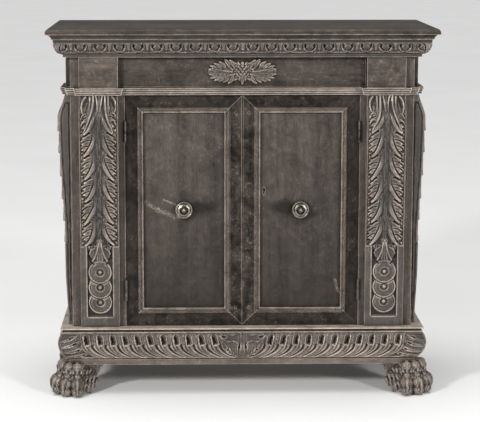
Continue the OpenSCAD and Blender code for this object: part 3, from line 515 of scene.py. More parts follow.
def flute_heights(q, v):
    """Flutes at q, the distance across from the middle of the nearest one's slot, and at height v."""
    z_lip, z_arch, mid = 157.0, 180.5, 2.5
    r = np.where(v > z_arch, np.hypot(q - mid, v - z_arch), np.abs(q - mid))
    upper = np.full(q.shape, -1.0)
    upper = np.where(np.abs(q + 17.4) < 1.0, -3.4, upper)
    upper = np.where(np.abs(q + 13.0) < 0.8, -2.2, upper)
    upper = np.where(np.abs(r - 13.0) < 0.9, -3.6, upper)
    upper = np.maximum(upper, bead(r, 9.4, 2.7, 0.6))
    across = np.clip((q + 4) / 10, 0, 1)
    fade = np.clip((189 - v) / 12, 0.15, 1)
    upper = np.where(r < 6.9, -13.5 * (1 - 0.72 * across) * fade, upper)
    lower = np.full(q.shape, -7.5)
    for at in (-4.6, -15.0):
        lower = np.maximum(lower, bead(q, at, 4.8, -0.4))
    body = bead(q, 7.0, 6.6, 0.5) + 0.3 * np.sin((v + 1.3 * q) * 1.5)
    lower = np.maximum(lower, np.where(np.abs(q - 7.0) < 6.6, body, -30))
    bend = np.clip(q - 1.5, 0, 11) * 0.5 - 2.5
    h = np.where(v > z_lip + bend, upper, lower)
    along = np.clip(q - 1.5, 0, 11)
    lip = np.hypot(q - 1.5 - along, v - (z_lip - 2.5 + 0.5 * along)) / 2.7
    return np.where(lip < 1, np.maximum(h, 1.0 - 3 * lip ** 2), h)


def corner_leaf(corner, z, lead):
    """Curling leaf on the mitre of the torus."""
    work = Relief(corner, z, -3.5)
    work.u = np.abs(work.u + lead[:, None])
    for root, tip, r in [((2, 104), (84, 112), 6.0), ((2, 114), (80, 130), 6.5), ((2, 129), (74, 150), 7.0),
                         ((2, 147), (66, 170), 7.0), ((2, 166), (56, 190), 6.5)]:
        bend = ((root[0] + tip[0]) / 2 + 8, (root[1] + tip[1]) / 2 - 9)
        lobe = bezier(root, bend, tip)
        work.cut_line(lobe + (0, -r - 0.5), [1.4, 1.8, 1.4], [-6, -7, -6], 1.1)
        work.raise_line(lobe, [r * 0.6, r, r * 0.6], [-0.5, 0.8, -1.0], 0.7)
        work.cut_line(lobe[3:-2] + (0, 1), [1.0, 1.6, 1.0], [-2.2, -3.0, -2.4], 1.0)
    for eye in [(56, 118), (52, 137), (46, 158), (34, 178)]:
        work.cut_line([eye, (eye[0] + 7, eye[1] + 3)], [3.0, 2.2], [-11, -9], 1.4)
    work.raise_line(bezier((58, 158), (78, 174), (56, 192)), [2.6, 3.8, 2.6], [-0.5, 1.2, -0.5], 1.0)
    work.raise_line([(0, 104), (0, 196)], [4.0, 3.6], [0.6, 0.6], 0.8)
    return work.h


def middle_leaf(x, z):
    """Leaf on the middle of the torus, at distances from the centre line."""
    leaf = Relief(x, z, -1.8)
    leaf.raise_line([(0, 104), (0, 198)], [12, 7], [0, 0.4], 0.25)
    leaf.cut_line([(12.5, 124), (9.5, 150), (9.5, 190)], [1.4, 1.8, 1.6], [-4, -5, -4], 1.2)
    leaf.cut_line([(9.0, 156), (9.5, 144)], [2.8, 3.0], [-11, -11], 1.4)
    for line, r in [(((12, 110), (30, 128), (62, 168)), 3.4), (((14, 160), (26, 172), (34, 168)), 3.0),
                    (((34, 168), (46, 162), (56, 172)), 3.0), (((56, 172), (74, 182), (62, 192)), 3.4),
                    (((24, 122), (38, 122), (52, 132)), 3.0), (((16, 192), (28, 182), (44, 190)), 3.0)]:
        leaf.raise_line(bezier(*line), [r * 0.8, r, r * 0.7], [-0.2, 0.9, -0.2], 1.0)
    for eye, r in [((54, 182), 4.2), ((42, 138), 3.4), ((30, 116), 2.4)]:
        leaf.cut_line([eye, (eye[0] + 3, eye[1] + 1)], [r, r * 0.8], [-11, -10], 1.3)
    for k in range(4):
        top = (20 + 8 * k, 164)
        leaf.cut_line(bezier((16 + 6 * k, 116 + 4 * k), (18 + 9 * k, 140), top), [1.2, 1.0], [-4, -3.5], 1.0)
    return leaf.h


def gadroons(corner, z, half_run, lead):
    """Flutes that sweep down and away from the corner, with a leaf on the corner and one in the middle."""
    u, v = np.meshgrid(corner, z)
    strayed = u + 1.2 * np.sin(u / 29) + 0.9 * np.sin(v / 13 + u / 41)
    phase = (strayed - flute_drift(v) - FLUTE_FIRST) / FLUTE_PITCH
    number = np.round(phase)
    h = flute_heights((phase - number) * FLUTE_PITCH, v)
    h = np.where(number < 0, corner_leaf(corner, z, lead), h)
    if half_run:
        flutes = 11
        reach = half_run - FLUTE_FIRST + FLUTE_PITCH / 2 - FLUTE_PITCH * flutes - flute_drift(v)
        h = np.where(np.abs(u - half_run) < reach, middle_leaf(half_run - corner, z), h)
        h = np.where((np.abs(np.abs(u - half_run) - reach) < 1.5) & (v < 182), -5.5, h)
    # Plain lips at the foot and the brow of the torus, and the uncarved cap
    h = np.where(v < Z_TORUS + 6, -0.6, h)
    h = np.where(v < Z_TORUS + 3, -5.0, h)
    h = np.where(v > Z_TORUS + 86.5, 0.3, h)
    return np.where(v > Z_TORUS + 91, 0.0, h)


# Carved ornament of the frieze

def ornament_relief(us, zs):
    """Two sprays of acanthus on either side of a knot of small leaves; height above the drawer's face."""
    work = Relief(np.abs(us), zs, -2.0)
    work.raise_line(bezier((6, 2), (52, -3), (98, 2), 20), [14, 21, 18, 6], [6.5, 7.5, 7, 4], 0.2)
    # Lobes of the spray above and below its rib, each from its root to its tip
    upper = [((12, 6), (25, 27)), ((23, 8), (38, 35)), ((37, 8), (52, 37)), ((50, 7), (69, 30)),
             ((62, 5), (83, 25)), ((74, 3), (95, 18)), ((80, 0), (100, 8))]
    lower = [((16, -6), (27, -24)), ((27, -7), (42, -34)), ((40, -7), (56, -30)), ((52, -7), (70, -27)),
             ((64, -6), (83, -25)), ((75, -5), (95, -18)), ((80, -3), (100, -6))]
    for lobes, sign in ((upper, 1), (lower, -1)):
        for k, (root, tip) in enumerate(lobes):
            bend = ((root[0] + tip[0]) / 2 - 4, (root[1] + tip[1]) / 2 + 5 * sign)
            line = bezier(root, bend, tip)
            r = 6.6 if k < 5 else 5.2
            work.cut_line(line + (r + 0.4, 0), [0.9, 1.3, 2.0], [5, 4, -2], 1.2)
            work.raise_line(line, [r * 0.7, r, r * 0.4], [9, 12.0 - 0.3 * k, 7.5], 0.75)
            work.cut_line(line[4:-3], [r * 0.25, r * 0.35, r * 0.2], [8, 9, 7.5], 1.0)
    for end, r in [((52, 33), 3.4), ((90, 12), 2.6)]:
        work.raise_line(bezier((10, 3), (end[0] * 0.62, 0), end, 18), [r, r, r * 0.7], [12.5, 13.5, 11], 1.1)
    work.raise_line(bezier((12, -4), (40, -8), (66, -20)), [2.6, 2.8, 1.8], [12, 12.5, 9], 1.1)
    # Knot in the middle: a latticed boss with a bud above and a drop below
    for end in [(20, 19), (25, 3), (21, -15), (9, -24)]:
        leaf_line = bezier((0, 0), (end[0] * 0.5, end[1] * 0.7), end)
        work.cut_line(leaf_line, [7.5, 7.0, 4.5], [4, 4, 3], 0)
        work.lay(leaf_line, [6.2, 5.8, 2.6], [14, 13, 8], 0.9)
        work.cut_line(leaf_line[4:-2], [1.2, 1.2, 0.8], [9, 9, 7], 1.0)
    for u, z, crest in [(17, 6, 12), (16, -7, 12), (11, 15, 12.5), (9, -14, 12.5), (0, 17, 13),
                        (11, 1, 14.5), (5.5, 9, 15), (5.5, -6, 15), (0, 1.5, 16.5)]:
        bud = [(u - 1.2, z - 1.5), (u + 1.2, z + 1.5)]
        work.cut_line(bud, [4.6, 4.6], [crest - 7, crest - 7], 0)
        work.lay(bud, [3.9, 3.9], [crest, crest], 1.3)
    work.raise_line([(0, 25), (0, 27)], [4.4, 4.4], [13, 13], 1.0)
    work.raise_line([(9, 23), (13, 28)], [3.4, 2.6], [10, 8], 1.0)
    work.raise_line(bezier((0, -16), (0, -26), (0, -35)), [5.5, 5.5, 3.0], [12, 11, 7], 0.9)
    work.raise_line([(8, -19), (10, -21)], [3.2, 3.0], [10, 9], 1.0)
    return work.h


def relief_plate(us, zs, heights, floor, keep):
    """Solid under those cells of a relief that stand above keep: its corners (u, height, z), its faces,
    and which of the grid's corners, then of the same ones on the floor, it has."""
    shape = heights.shape
    corners = [heights[:-1, :-1], heights[1:, :-1], heights[:-1, 1:], heights[1:, 1:]]
    cells = np.maximum.reduce(corners) > keep
    u, z = np.meshgrid(us, zs)
    top = np.stack([u, heights, z], -1).reshape(-1, 3)
    base = np.stack([u, np.full(shape, floor), z], -1).reshape(-1, 3)
    index = np.arange(top.shape[0]).reshape(shape)
    count = top.shape[0]
    faces = []
    for i, k in zip(*np.nonzero(cells)):
        a, b, c, d = index[i, k], index[i, k + 1], index[i + 1, k + 1], index[i + 1, k]
        faces += [[a, b, c, d], [a + count, d + count, c + count, b + count]]
        for p, q, ni, nk in [(a, b, i - 1, k), (b, c, i, k + 1), (c, d, i + 1, k), (d, a, i, k - 1)]:
            inside = 0 <= ni < cells.shape[0] and 0 <= nk < cells.shape[1] and cells[ni, nk]
            if not inside:
                faces.append([p, p + count, q + count, q])
    used = sorted({i for face in faces for i in face})
    renumber = {old: new for new, old in enumerate(used)}
    verts = np.concatenate([top, base])[used]
    return verts, [[int(renumber[i]) for i in face] for face in faces], used


# Lion's paws

def capsule(bm, a, b, ra, rb, rings=8, segments=14):
    """Round-ended rod from a to b added to a bmesh, its radius going from ra to rb."""
    a, b = Vector(a), Vector(b)
    turn = (b - a).to_track_quat("Z", "Y")
    length = (b - a).length
    loops = []
    for i in range(1, 2 * rings):
        tilt = -math.pi / 2 + math.pi * i / (2 * rings)
        r, base = (ra, 0) if tilt < 0 else (rb, length)
        out, up = r * math.cos(tilt), base + r * math.sin(tilt)
        loops.append([])
        for j in range(segments):
            t = 2 * math.pi * j / segments
            corner = Vector((out * math.cos(t), out * math.sin(t), up))
            loops[-1].append(bm.verts.new(a + turn @ corner))
    foot = bm.verts.new(a + turn @ Vector((0, 0, -ra)))
    head = bm.verts.new(a + turn @ Vector((0, 0, length + rb)))
    for j in range(segments):
        k = (j + 1) % segments
        bm.faces.new([foot, loops[0][k], loops[0][j]])
        bm.faces.new([head, loops[-1][j], loops[-1][k]])
        for lower, upper in zip(loops, loops[1:]):
            bm.faces.new([lower[j], lower[k], upper[k], upper[j]])


def strand(bm, p0, p1, p2, r0, r1, n=6):
    """Bent lock of hair or sinew: a chain of rods along a curve."""
    line = bezier(p0, p1, p2, n)
    radii = np.linspace(r0, r1, n)
    for i in range(n - 1):
        capsule(bm, line[i], line[i + 1], radii[i], radii[i + 1], 4, 10)


def paw_shape(bm):
    """Paw about its own middle with its toes along +X, the floor at z = 0."""
    for spread in (-48, -16, 16, 48):
        turn = math.radians(spread)

        def at(x, y, z):
            return (x * math.cos(turn) - y * math.sin(turn), x * math.sin(turn) + y * math.cos(turn), z)

        # Knuckle, the hollow under it, the toe's end and its pad
        capsule(bm, at(4, 0, 50), at(34, 0, 76), 24, 14)
        capsule(bm, at(36, 0, 82), at(47, 0, 86), 14, 15.5)
        capsule(bm, at(46, 0, 82), at(58, 0, 56), 10, 10)
        capsule(bm, at(40, 0, 40), at(62, 0, 38), 22, 18.5)
        capsule(bm, at(50, 0, 18), at(65, 0, 17), 19, 17.5)
        # Claw between its two folds of skin
        strand(bm, at(68, 0, 50), at(88, 0, 44), at(82, 0, 12), 7.5, 2.6)
        for side in (-1, 1):
            strand(bm, at(56, side * 9, 54), at(76, side * 11, 46), at(74, side * 9, 24), 4.6, 3.4)
            strand(bm, at(26, side * 10, 92), at(44, side * 15, 98), at(58, side * 12, 72), 4.2, 3.2)
        strand(bm, at(24, 0, 90), at(40, 0, 108), at(56, 0, 94), 4.6, 3.6)
        strand(bm, at(57, 0, 88), at(66, 0, 80), at(60, 0, 70), 4.4, 3.6)
    for spread in (-32, 0, 32):
        # Tufts of hair between the toes
        turn = math.radians(spread)
        for r, z0, z1 in ((52, 78, 58), (58, 60, 38), (60, 40, 18)):
            x, y = r * math.cos(turn), r * math.sin(turn)
            strand(bm, (x - 6, y, z0), (x + 7, y, z0 - 4), (x + 1, y, z1), 4.8, 2.6)
    capsule(bm, (0, 0, 40), (-6, 0, 66), 34, 34)
    capsule(bm, (0, 0, 24), (-18, 0, 24), 26, 22)


def hairy_side(bm, side):
    """Locks that stream from the ankle over one side of the paw to its sole."""
    for row, (z, reach) in enumerate([(86, 30), (68, 38), (48, 45), (28, 49)]):
        for k in range(4):
            x = 16 - 15 * k - 6 * (row % 2)
            drop = 12 + 7 * ((k + row) % 3)
            strand(bm, (x - 12, side * (reach - 14), z + 6), (x + 2, side * (reach + 1), z + 6),
                   (x + 9, side * (reach - 2), z - drop), 7.4, 3.4)


def remeshed(bm, voxel, smooth):
    """One closed skin round everything in the bmesh, in millimetres, with its cavity values."""
    mesh = bpy.data.meshes.new("foot_rough")
    bm.to_mesh(mesh)
    bm.free()
    obj = add_object("foot_rough", mesh)
    remesh = obj.modifiers.new("skin", "REMESH")
    remesh.mode = "VOXEL"
    remesh.voxel_size = voxel
    ease_off = obj.modifiers.new("ease", "SMOOTH")
    ease_off.factor = 0.5
    ease_off.iterations = smooth
    skin = bpy.data.meshes.new_from_object(obj.evaluated_get(bpy.context.evaluated_depsgraph_get()))
    bpy.data.objects.remove(obj)
    count = len(skin.vertices)
    co, normal = np.zeros(count * 3), np.zeros(count * 3)
    skin.vertices.foreach_get("co", co)
    skin.vertices.foreach_get("normal", normal)
    co, normal = co.reshape(-1, 3), normal.reshape(-1, 3)
    # Gouge marks
    x, y, z = co.T
    marks = np.sin(x * 0.83 + 2 * np.sin(z * 0.31)) * np.sin(y * 0.71 + 1.7 * np.sin(x * 0.27))
    co += normal * (marks * np.sin(z * 0.66 + 1.3 * np.sin(y * 0.37)))[:, None] * 1.3
    edges = np.zeros(len(skin.edges) * 2, int)
    skin.edges.foreach_get("vertices", edges)
    a, b = edges.reshape(-1, 2).T
    links = np.bincount(a, minlength=count) + np.bincount(b, minlength=count)
    eased = co.copy()
    for _ in range(7):
        sums = [np.bincount(a, axis[b], count) + np.bincount(b, axis[a], count) for axis in eased.T]
        eased = np.stack(sums, -1) / links[:, None]
    cavity = np.clip(((eased - co) * normal).sum(1) / 1.4, -1, 1)
    return co, [list(p.vertices) for p in skin.polygons], cavity


def foot_skin(rear):
    """Right-hand foot in millimetres: paw, hairy ankle and the bracket that joins the plinth."""
    low, high = extent("foot_rear_right" if rear else "foot_front_right")
    toe_reach, leg_w = 85.0, 93
    if rear:
        centre, turn = (high[0] - toe_reach, BACK_Y - toe_reach + 12), 0.0
        leg_y = (BACK_Y - 111, BACK_Y - 5)
    else:
        centre, turn = (high[0] - toe_reach, low[1] + toe_reach), -45.0
        leg_y = (FACE_Y + leg_w, FACE_Y - 9)
    bm = bmesh.new()
    paw_shape(bm)
    hairy_side(bm, -1)
    hairy_side(bm, 1)
    turned = Matrix.Rotation(math.radians(turn), 3, "Z")
    bmesh.ops.rotate(bm, verts=bm.verts, cent=(0, 0, 0), matrix=turned)
    bmesh.ops.translate(bm, verts=bm.verts, vec=(centre[0], centre[1], 0))
    z_plinth = extent("plinth_frame")[0][2]
    x_in, x_out = HALF - leg_w, HALF + 9.5
    top = [(x_in, leg_y[0]), (x_out, leg_y[0]), (x_out, leg_y[1]), (x_in, leg_y[1])]
    y_low = (leg_y[0] * 0.6 + leg_y[1] * 0.4, leg_y[1] * 0.7 + leg_y[0] * 0.3)
    bottom = [(x_in + 46, y_low[0]), (x_out, y_low[0]), (x_out, y_low[1]), (x_in + 46, y_low[1])]
    ring_top = [bm.verts.new((x, y, z_plinth + 1)) for x, y in top]
    ring_low = [bm.verts.new((x, y, 10)) for x, y in bottom]
    bm.faces.new(ring_top)
    bm.faces.new(ring_low[::-1])
    for k in range(4):
        bm.faces.new([ring_top[k], ring_low[k], ring_low[(k + 1) % 4], ring_top[(k + 1) % 4]])
    # Locks of hair from the bracket's outer end to the back of the paw, and one across its smooth face
    y_front = leg_y[1]
    sign = 1 if rear else -1
    for k in range(3):
        x = x_out - 11 * k
        strand(bm, (x, y_front - sign * 4, z_plinth - 4), (x - 8, y_front + sign * 6, 60),
               (x + 4, y_low[1] + sign * 8, 22 + 3 * (k % 2)), 7, 4.5)
    strand(bm, (x_out - 6, y_front, z_plinth - 8), (x_in + 50, y_front + sign * 6, z_plinth - 16),
           (x_in + 56, y_low[1], 34), 7, 5)
    co, faces, cavity = remeshed(bm, voxel=2.0, smooth=2)
    co[:, 2] = np.clip(co[:, 2], 0.0, high[2])
    return co, faces, cavity


# Materials

class Shader:
    """A material's nodes, with a short method for each kind that the finishes share."""

    def __init__(self, name):
        self.material = bpy.data.materials.new(name)
        self.material.use_nodes = True
        self.tree = self.material.node_tree
        self.tree.nodes.clear()
        self.surface = self.node("ShaderNodeBsdfPrincipled")
        self.node("ShaderNodeOutputMaterial", {"Surface": self.surface.outputs[0]})
        self.spot = self.node("ShaderNodeTexCoord").outputs["Object"]

    def node(self, kind, inputs=None, **settings):
        """A node with its settings and inputs."""
        made = self.tree.nodes.new(kind)
        for key, value in settings.items():
            setattr(made, key, value)
        self.feed(made, inputs or {})
        return made

    def feed(self, node, inputs):
        """Set a node's inputs, each to a value or to another node's output."""
        for key, value in inputs.items():
            if isinstance(value, bpy.types.NodeSocket):
                self.tree.links.new(value, node.inputs[key])
            else:
                node.inputs[key].default_value = value

    def math(self, operation, *values, clamp=False):
        inputs = dict(enumerate(values))
        return self.node("ShaderNodeMath", inputs, operation=operation, use_clamp=clamp).outputs[0]

    def plus(self, total, *values):
        for value in values:
            total = self.math("ADD", total, value)
        return total

    def times(self, a, b, clamp=False):
        return self.math("MULTIPLY", a, b, clamp=clamp)

    def vector(self, operation, inputs, output=0):
        return self.node("ShaderNodeVectorMath", inputs, operation=operation).outputs[output]

    def mix(self, share, a, b):
        """Colour between a and b, each of them three numbers or another node's output."""
        a, b = ((*c, 1) if isinstance(c, tuple) else c for c in (a, b))
        return self.node("ShaderNodeMix", {0: share, 6: a, 7: b}, data_type="RGBA").outputs[2]

    def noise(self, spot, scale, detail, rough, warp=0.0):
        inputs = {"Vector": spot, "Scale": scale, "Detail": detail, "Roughness": rough, "Distortion": warp}
        return self.node("ShaderNodeTexNoise", inputs).outputs["Fac"]

    def ranged(self, value, low, high, to_low=0.0, to_high=1.0):
        inputs = {"Value": value, "From Min": low, "From Max": high, "To Min": to_low, "To Max": to_high}
        return self.node("ShaderNodeMapRange", inputs).outputs[0]

    def shade(self, reach, darkest):
        """0 in the open, 1 where what lies within reach in metres leaves only the darkest share of light."""
        around = self.node("ShaderNodeAmbientOcclusion", {"Distance": reach}, samples=4).outputs["AO"]
        return self.ranged(around, 0.8, darkest)

    def edges(self, radius, full=0.80):
        """1 on edges within about that radius in metres, 0 on flats; full near 1 takes in blunt edges."""
        eased = self.node("ShaderNodeBevel", {"Radius": radius}, samples=4).outputs[0]
        plain = self.node("ShaderNodeNewGeometry").outputs["Normal"]
        return self.ranged(self.vector("DOT_PRODUCT", {0: eased, 1: plain}, "Value"), 0.99, full)

    def from_segment(self, start, end):
        """Distance in metres from a segment between two points in millimetres."""
        a, b = Vector(start) * MM, Vector(end) * MM
        way = b - a
        off = self.vector("SUBTRACT", {0: self.spot, 1: a})
        along = self.vector("DOT_PRODUCT", {0: off, 1: way / way.length_squared}, "Value")
        along = self.math("ADD", along, 0.0, clamp=True)
        step = self.vector("SCALE", {0: way, "Scale": along})
        return self.vector("LENGTH", {0: self.vector("SUBTRACT", {0: off, 1: step})}, "Value")

    def finish(self, colour, rough, heights, strength, depth):
        """Give the surface its colour, roughness and bump, whose depth is in metres."""
        bump = self.node("ShaderNodeBump", {"Strength": strength, "Distance": depth, "Height": heights})
        self.feed(self.surface, {"Base Color": colour, "Roughness": rough, "Normal": bump.outputs[0]})


def shaded(colour, share):
    """A colour made darker or lighter, no lighter than white."""
    return tuple(min(1, c * share) for c in colour)


def wood(name, dark, light, grain, seed, polish=0.36, wear_and_highlight=1.0, dirt_and_shade=0.8, figure=1.0, rub_and_highlight=2.1, gloss=0.5,
         worn_and_highlit_edge=0.003, shade_reach=0.02, specks=0.35, coat=0.12, mottled=0.45, contrast=1.0, blunt=0.80,
         foot_shade=None, shadow_patches=(), scratches=()):
    """Old waxed wood: fibres and figure along the grain axis, dark wax and painted shade in the hollows and
    corners, edges and crests lightened partly by rubbing and partly as painted highlights. foot_shade
    paints shade that darkens towards the lower of two heights; the next argument lists painted shadows as
    (middle, half sizes, strength); scratches lists dry light strokes as (start, end, width)."""
    s = Shader(name)
    stretch = {"x": (0.07, 1, 1), "y": (1, 0.07, 1), "z": (1, 1, 0.07)}[grain]
    shift = (seed, seed * 1.7, seed * 0.6)
    board = s.node("ShaderNodeMapping", {"Vector": s.spot, "Location": shift, "Scale": stretch}).outputs[0]
    flames = s.noise(board, 16, 3, 0.55, 1.2)
    streaks = s.noise(board, 75, 5, 0.62, 0.6)
    fibres = s.noise(board, 420, 4, 0.7, 0.2)
    pores = s.ranged(s.noise(board, 900, 2, 0.5), 0.60, 0.70)
    blotches = s.noise(s.spot, 5.5, 4, 0.6, 0.4)
    mottle = s.noise(s.spot, 27, 5, 0.7, 0.8)
    tone = s.plus(s.times(flames, 0.45 * figure), s.times(streaks, 0.4), s.times(blotches, 0.4),
                  s.times(mottle, mottled))
    middle, half = 0.635 + 0.5 * mottled, 0.26 / contrast
    colour = s.mix(s.ranged(tone, middle - half, middle + half), dark, light)
    colour = s.mix(s.ranged(fibres, 0.35, 0.65, 0.0, 0.35), colour, shaded(dark, 0.45))
    colour = s.mix(s.times(pores, 0.5), colour, shaded(dark, 0.3))
    # Dry specks and nicks where the polish has gone
    nicks = s.times(s.ranged(s.noise(s.spot, 150, 3, 0.75), 0.56, 0.68), s.ranged(mottle, 0.42, 0.62))
    colour = s.mix(s.times(nicks, specks), colour, shaded(light, 2.6))
    # Painted shade, darker towards the foot
    if foot_shade:
        low, high = (z * MM for z in foot_shade)
        height = s.node("ShaderNodeSeparateXYZ", {0: s.spot}).outputs[2]
        colour = s.mix(s.ranged(height, high, low, 0.0, 0.72), colour, dark)
    # Painted shadows: dark patches that fade out from their middles
    for centre, sizes, strength in shadow_patches:
        off = s.vector("SUBTRACT", {0: s.spot, 1: [v * MM for v in centre]})
        off = s.vector("MULTIPLY", {0: off, 1: [1 / (v * MM) for v in sizes]})
        far = s.plus(s.vector("LENGTH", {0: off}, "Value"), s.ranged(mottle, 0.2, 0.8, -0.25, 0.25))
        colour = s.mix(s.ranged(far, 1.15, 0.45, 0.0, strength), colour, shaded(dark, 0.4))
    for start, end, width in scratches:
        dry = s.ranged(s.from_segment(start, end), width * MM, 0.2 * width * MM)
        dry = s.times(dry, s.ranged(s.noise(s.spot, 210, 4, 0.8, 1.0), 0.47, 0.60))
        colour = s.mix(s.times(dry, 0.6), colour, shaded(light, 4.2))
    # Wax and painted shade in hollows and corners, then edges and crests lightened by rubbing and by painted
    # highlights
    cavity = s.node("ShaderNodeAttribute", attribute_name="cavity").outputs["Fac"]
    wax_and_shade = s.math("MAXIMUM", s.shade(shade_reach, 0.25), s.ranged(cavity, 0.02, 0.45))
    wax_and_shade = s.times(wax_and_shade, dirt_and_shade, clamp=True)
    colour = s.mix(wax_and_shade, colour, shaded(dark, 0.22))
    rubbed_and_highlit = s.math("MAXIMUM", s.edges(worn_and_highlit_edge, blunt), s.ranged(cavity, -0.06, -0.6))
    rubbed_and_highlit = s.times(s.times(rubbed_and_highlit, s.ranged(mottle, 0.35, 0.6, 0.4, 1.0)), wear_and_highlight, clamp=True)
    colour = s.mix(rubbed_and_highlit, colour, shaded(light, rub_and_highlight))
    rough = s.plus(s.ranged(streaks, 0.25, 0.75, polish - 0.08, polish + 0.14), s.times(wax_and_shade, 0.3))
    rough = s.math("SUBTRACT", rough, s.times(rubbed_and_highlit, 0.1), clamp=True)
    heights = s.math("SUBTRACT", s.plus(streaks, s.times(fibres, 0.5)), s.times(pores, 0.8))
    s.finish(colour, rough, heights, strength=0.35, depth=0.0006)
    s.feed(s.surface, {"Specular IOR Level": gloss, "Coat Weight": coat, "Coat Roughness": 0.22})
    return s.material


def metal(name, dark, light, rough):
    """Old metal: tarnish in patches, pits and rubbed edges."""
    s = Shader(name)
    patches = s.noise(s.spot, 60, 5, 0.65, 0.8)
    grains = s.noise(s.spot, 600, 3, 0.6)
    colour = s.mix(s.ranged(patches, 0.35, 0.7), dark, light)
    colour = s.mix(s.shade(0.008, 0.3), colour, shaded(dark, 0.25))
    colour = s.mix(s.times(s.edges(0.0012), 0.6), colour, shaded(light, 1.7))
    rough = s.ranged(patches, 0.3, 0.7, rough + 0.15, rough - 0.05)
    s.finish(colour, rough, s.plus(grains, patches), strength=0.5, depth=0.0004)
    s.feed(s.surface, {"Metallic": 1.0})
    return s.material


def walnut(tone):
    """Dark walnut of low saturation, as a linear colour whose red is the tone."""
    return tone, 0.822 * tone, 0.682 * tone


def beside_knob(dx, dz):
    """Point on the left panel's face, offset from its knob."""
    return knob_l[0] + dx, panel_y, knob_l[2] + dz


def low_right(dx, dz):
    """Point on the right panel's face, offset from a spot near its lower right corner."""
    low, high = extent("door_right_panel")
    return high[0] - 40 + dx, panel_y, low[2] + 70 + dz


knob_r, knob_l = (sum(extent(f"door_{side}_knob")) / 2 for side in ("right", "left"))
panel_y = extent("door_left_panel")[0][1]
# Offsets and half sizes of the painted shadows of the knobs on the panels
beside, below = np.array((46, 0, 4)), np.array((0, 0, -16))
knob_shadow_wide, knob_shadow_low = (52, 60, 28), (36, 60, 34)
keyhole_x, keyhole_z = 66, (613, 631)

deep, deeper, carved_tone = walnut(0.0085), walnut(0.012), walnut(0.018)
poplar_look = {"dark": (0.16, 0.115, 0.075), "light": (0.36, 0.28, 0.19), "polish": 0.72, "wear_and_highlight": 0.2,
               "dirt_and_shade": 0.6}
plain = {"gloss": 0.14, "coat": 0.03}
door_look = {"mottled": 1.0, "contrast": 1.4, "specks": 0.9, "gloss": 0.09, "coat": 0.0}
frieze_look = {"mottled": 0.8, "specks": 0.6, **plain}
carved = {"polish": 0.32, "dirt_and_shade": 1.0, "gloss": 0.42, "coat": 0.18, "specks": 0.5}

rail_wood = wood("walnut_rails", deep, walnut(0.044), "x", 0.0, rub_and_highlight=3.0, wear_and_highlight=0.7, worn_and_highlit_edge=0.002,
                 **door_look)
# Door stiles as two copies of one wood: the meeting stiles painted lighter and the hinge stiles painted
# darker, as painted light and painted shade
meeting_stile_painted_light = wood("walnut_meeting_stiles_painted_light", deep, walnut(0.070), "z", 5.3, rub_and_highlight=6.0, worn_and_highlit_edge=0.0035,
                    **door_look)
hinge_stile_painted_shade = wood("walnut_hinge_stiles_painted_shade", deep, walnut(0.034), "z", 11.9, rub_and_highlight=3.0, wear_and_highlight=0.5, worn_and_highlit_edge=0.002,
                  **door_look)
peg_wood = wood("walnut_pegs", deep, walnut(0.042), "y", 19.6, wear_and_highlight=0.15, worn_and_highlit_edge=0.0005, **plain)
# Door mouldings: light lines along their beads, painted highlights
moulding_wood = wood("walnut_moulding", deep, walnut(0.030), "z", 23.4, rub_and_highlight=22.0, worn_and_highlit_edge=0.0026,
                     blunt=0.93, **plain)
# Panels: painted shadows beside and below the knobs, and painted shade darkening towards their foot
panel_wood = wood(
    "walnut_panel", walnut(0.009), walnut(0.104), "z", 17.3, rub_and_highlight=3.5, figure=1.4, shade_reach=0.05,
    mottled=0.75, gloss=0.2, coat=0.05, foot_shade=(240, 820),
    shadow_patches=[(knob_l + beside, knob_shadow_wide, 0.8), (knob_r - beside * (1, 1, -1), knob_shadow_wide, 0.8),
            (knob_l + below, knob_shadow_low, 0.6), (knob_r + below, knob_shadow_low, 0.6)],
    scratches=[(beside_knob(-118, 22), beside_knob(-74, -4), 9),
               (beside_knob(-78, -2), beside_knob(-18, -26), 10),
               (beside_knob(-60, 30), beside_knob(-24, 14), 4),
               (low_right(0, 40), low_right(10, 5), 6), (low_right(6, 10), low_right(22, -12), 5),
               ((keyhole_x, panel_y, keyhole_z[0]), (keyhole_x, panel_y, keyhole_z[1]), 7)])
# Stiles, side boards and side frames painted lighter, as painted light over the shade that the consoles cast
# beside them
stile_wood_painted_light = wood("walnut_stiles_painted_light", walnut(0.026), walnut(0.150), "z", 27.7, rub_and_highlight=3.6, worn_and_highlit_edge=0.0028,
                  shade_reach=0.006, **plain)
block_wood = wood("walnut_blocks", walnut(0.02), walnut(0.150), "x", 34.6, rub_and_highlight=4.0, **frieze_look)
frieze_wood = wood("walnut_frieze", deeper, walnut(0.096), "x", 14.2, rub_and_highlight=5.5, **frieze_look)
# Top: a painted highlight line along its front arris, from the lightened edges
top_wood = wood("walnut_top", deeper, walnut(0.088), "x", 8.2, polish=0.34, figure=1.1, rub_and_highlight=5.5, gloss=0.1,
                coat=0.02, worn_and_highlit_edge=0.005, contrast=1.35)
# Ledge: lighter, with painted highlight lines along its beads
ledge_wood = wood("walnut_ledge", deep, walnut(0.130), "x", 29.1, rub_and_highlight=7, worn_and_highlit_edge=0.0034)
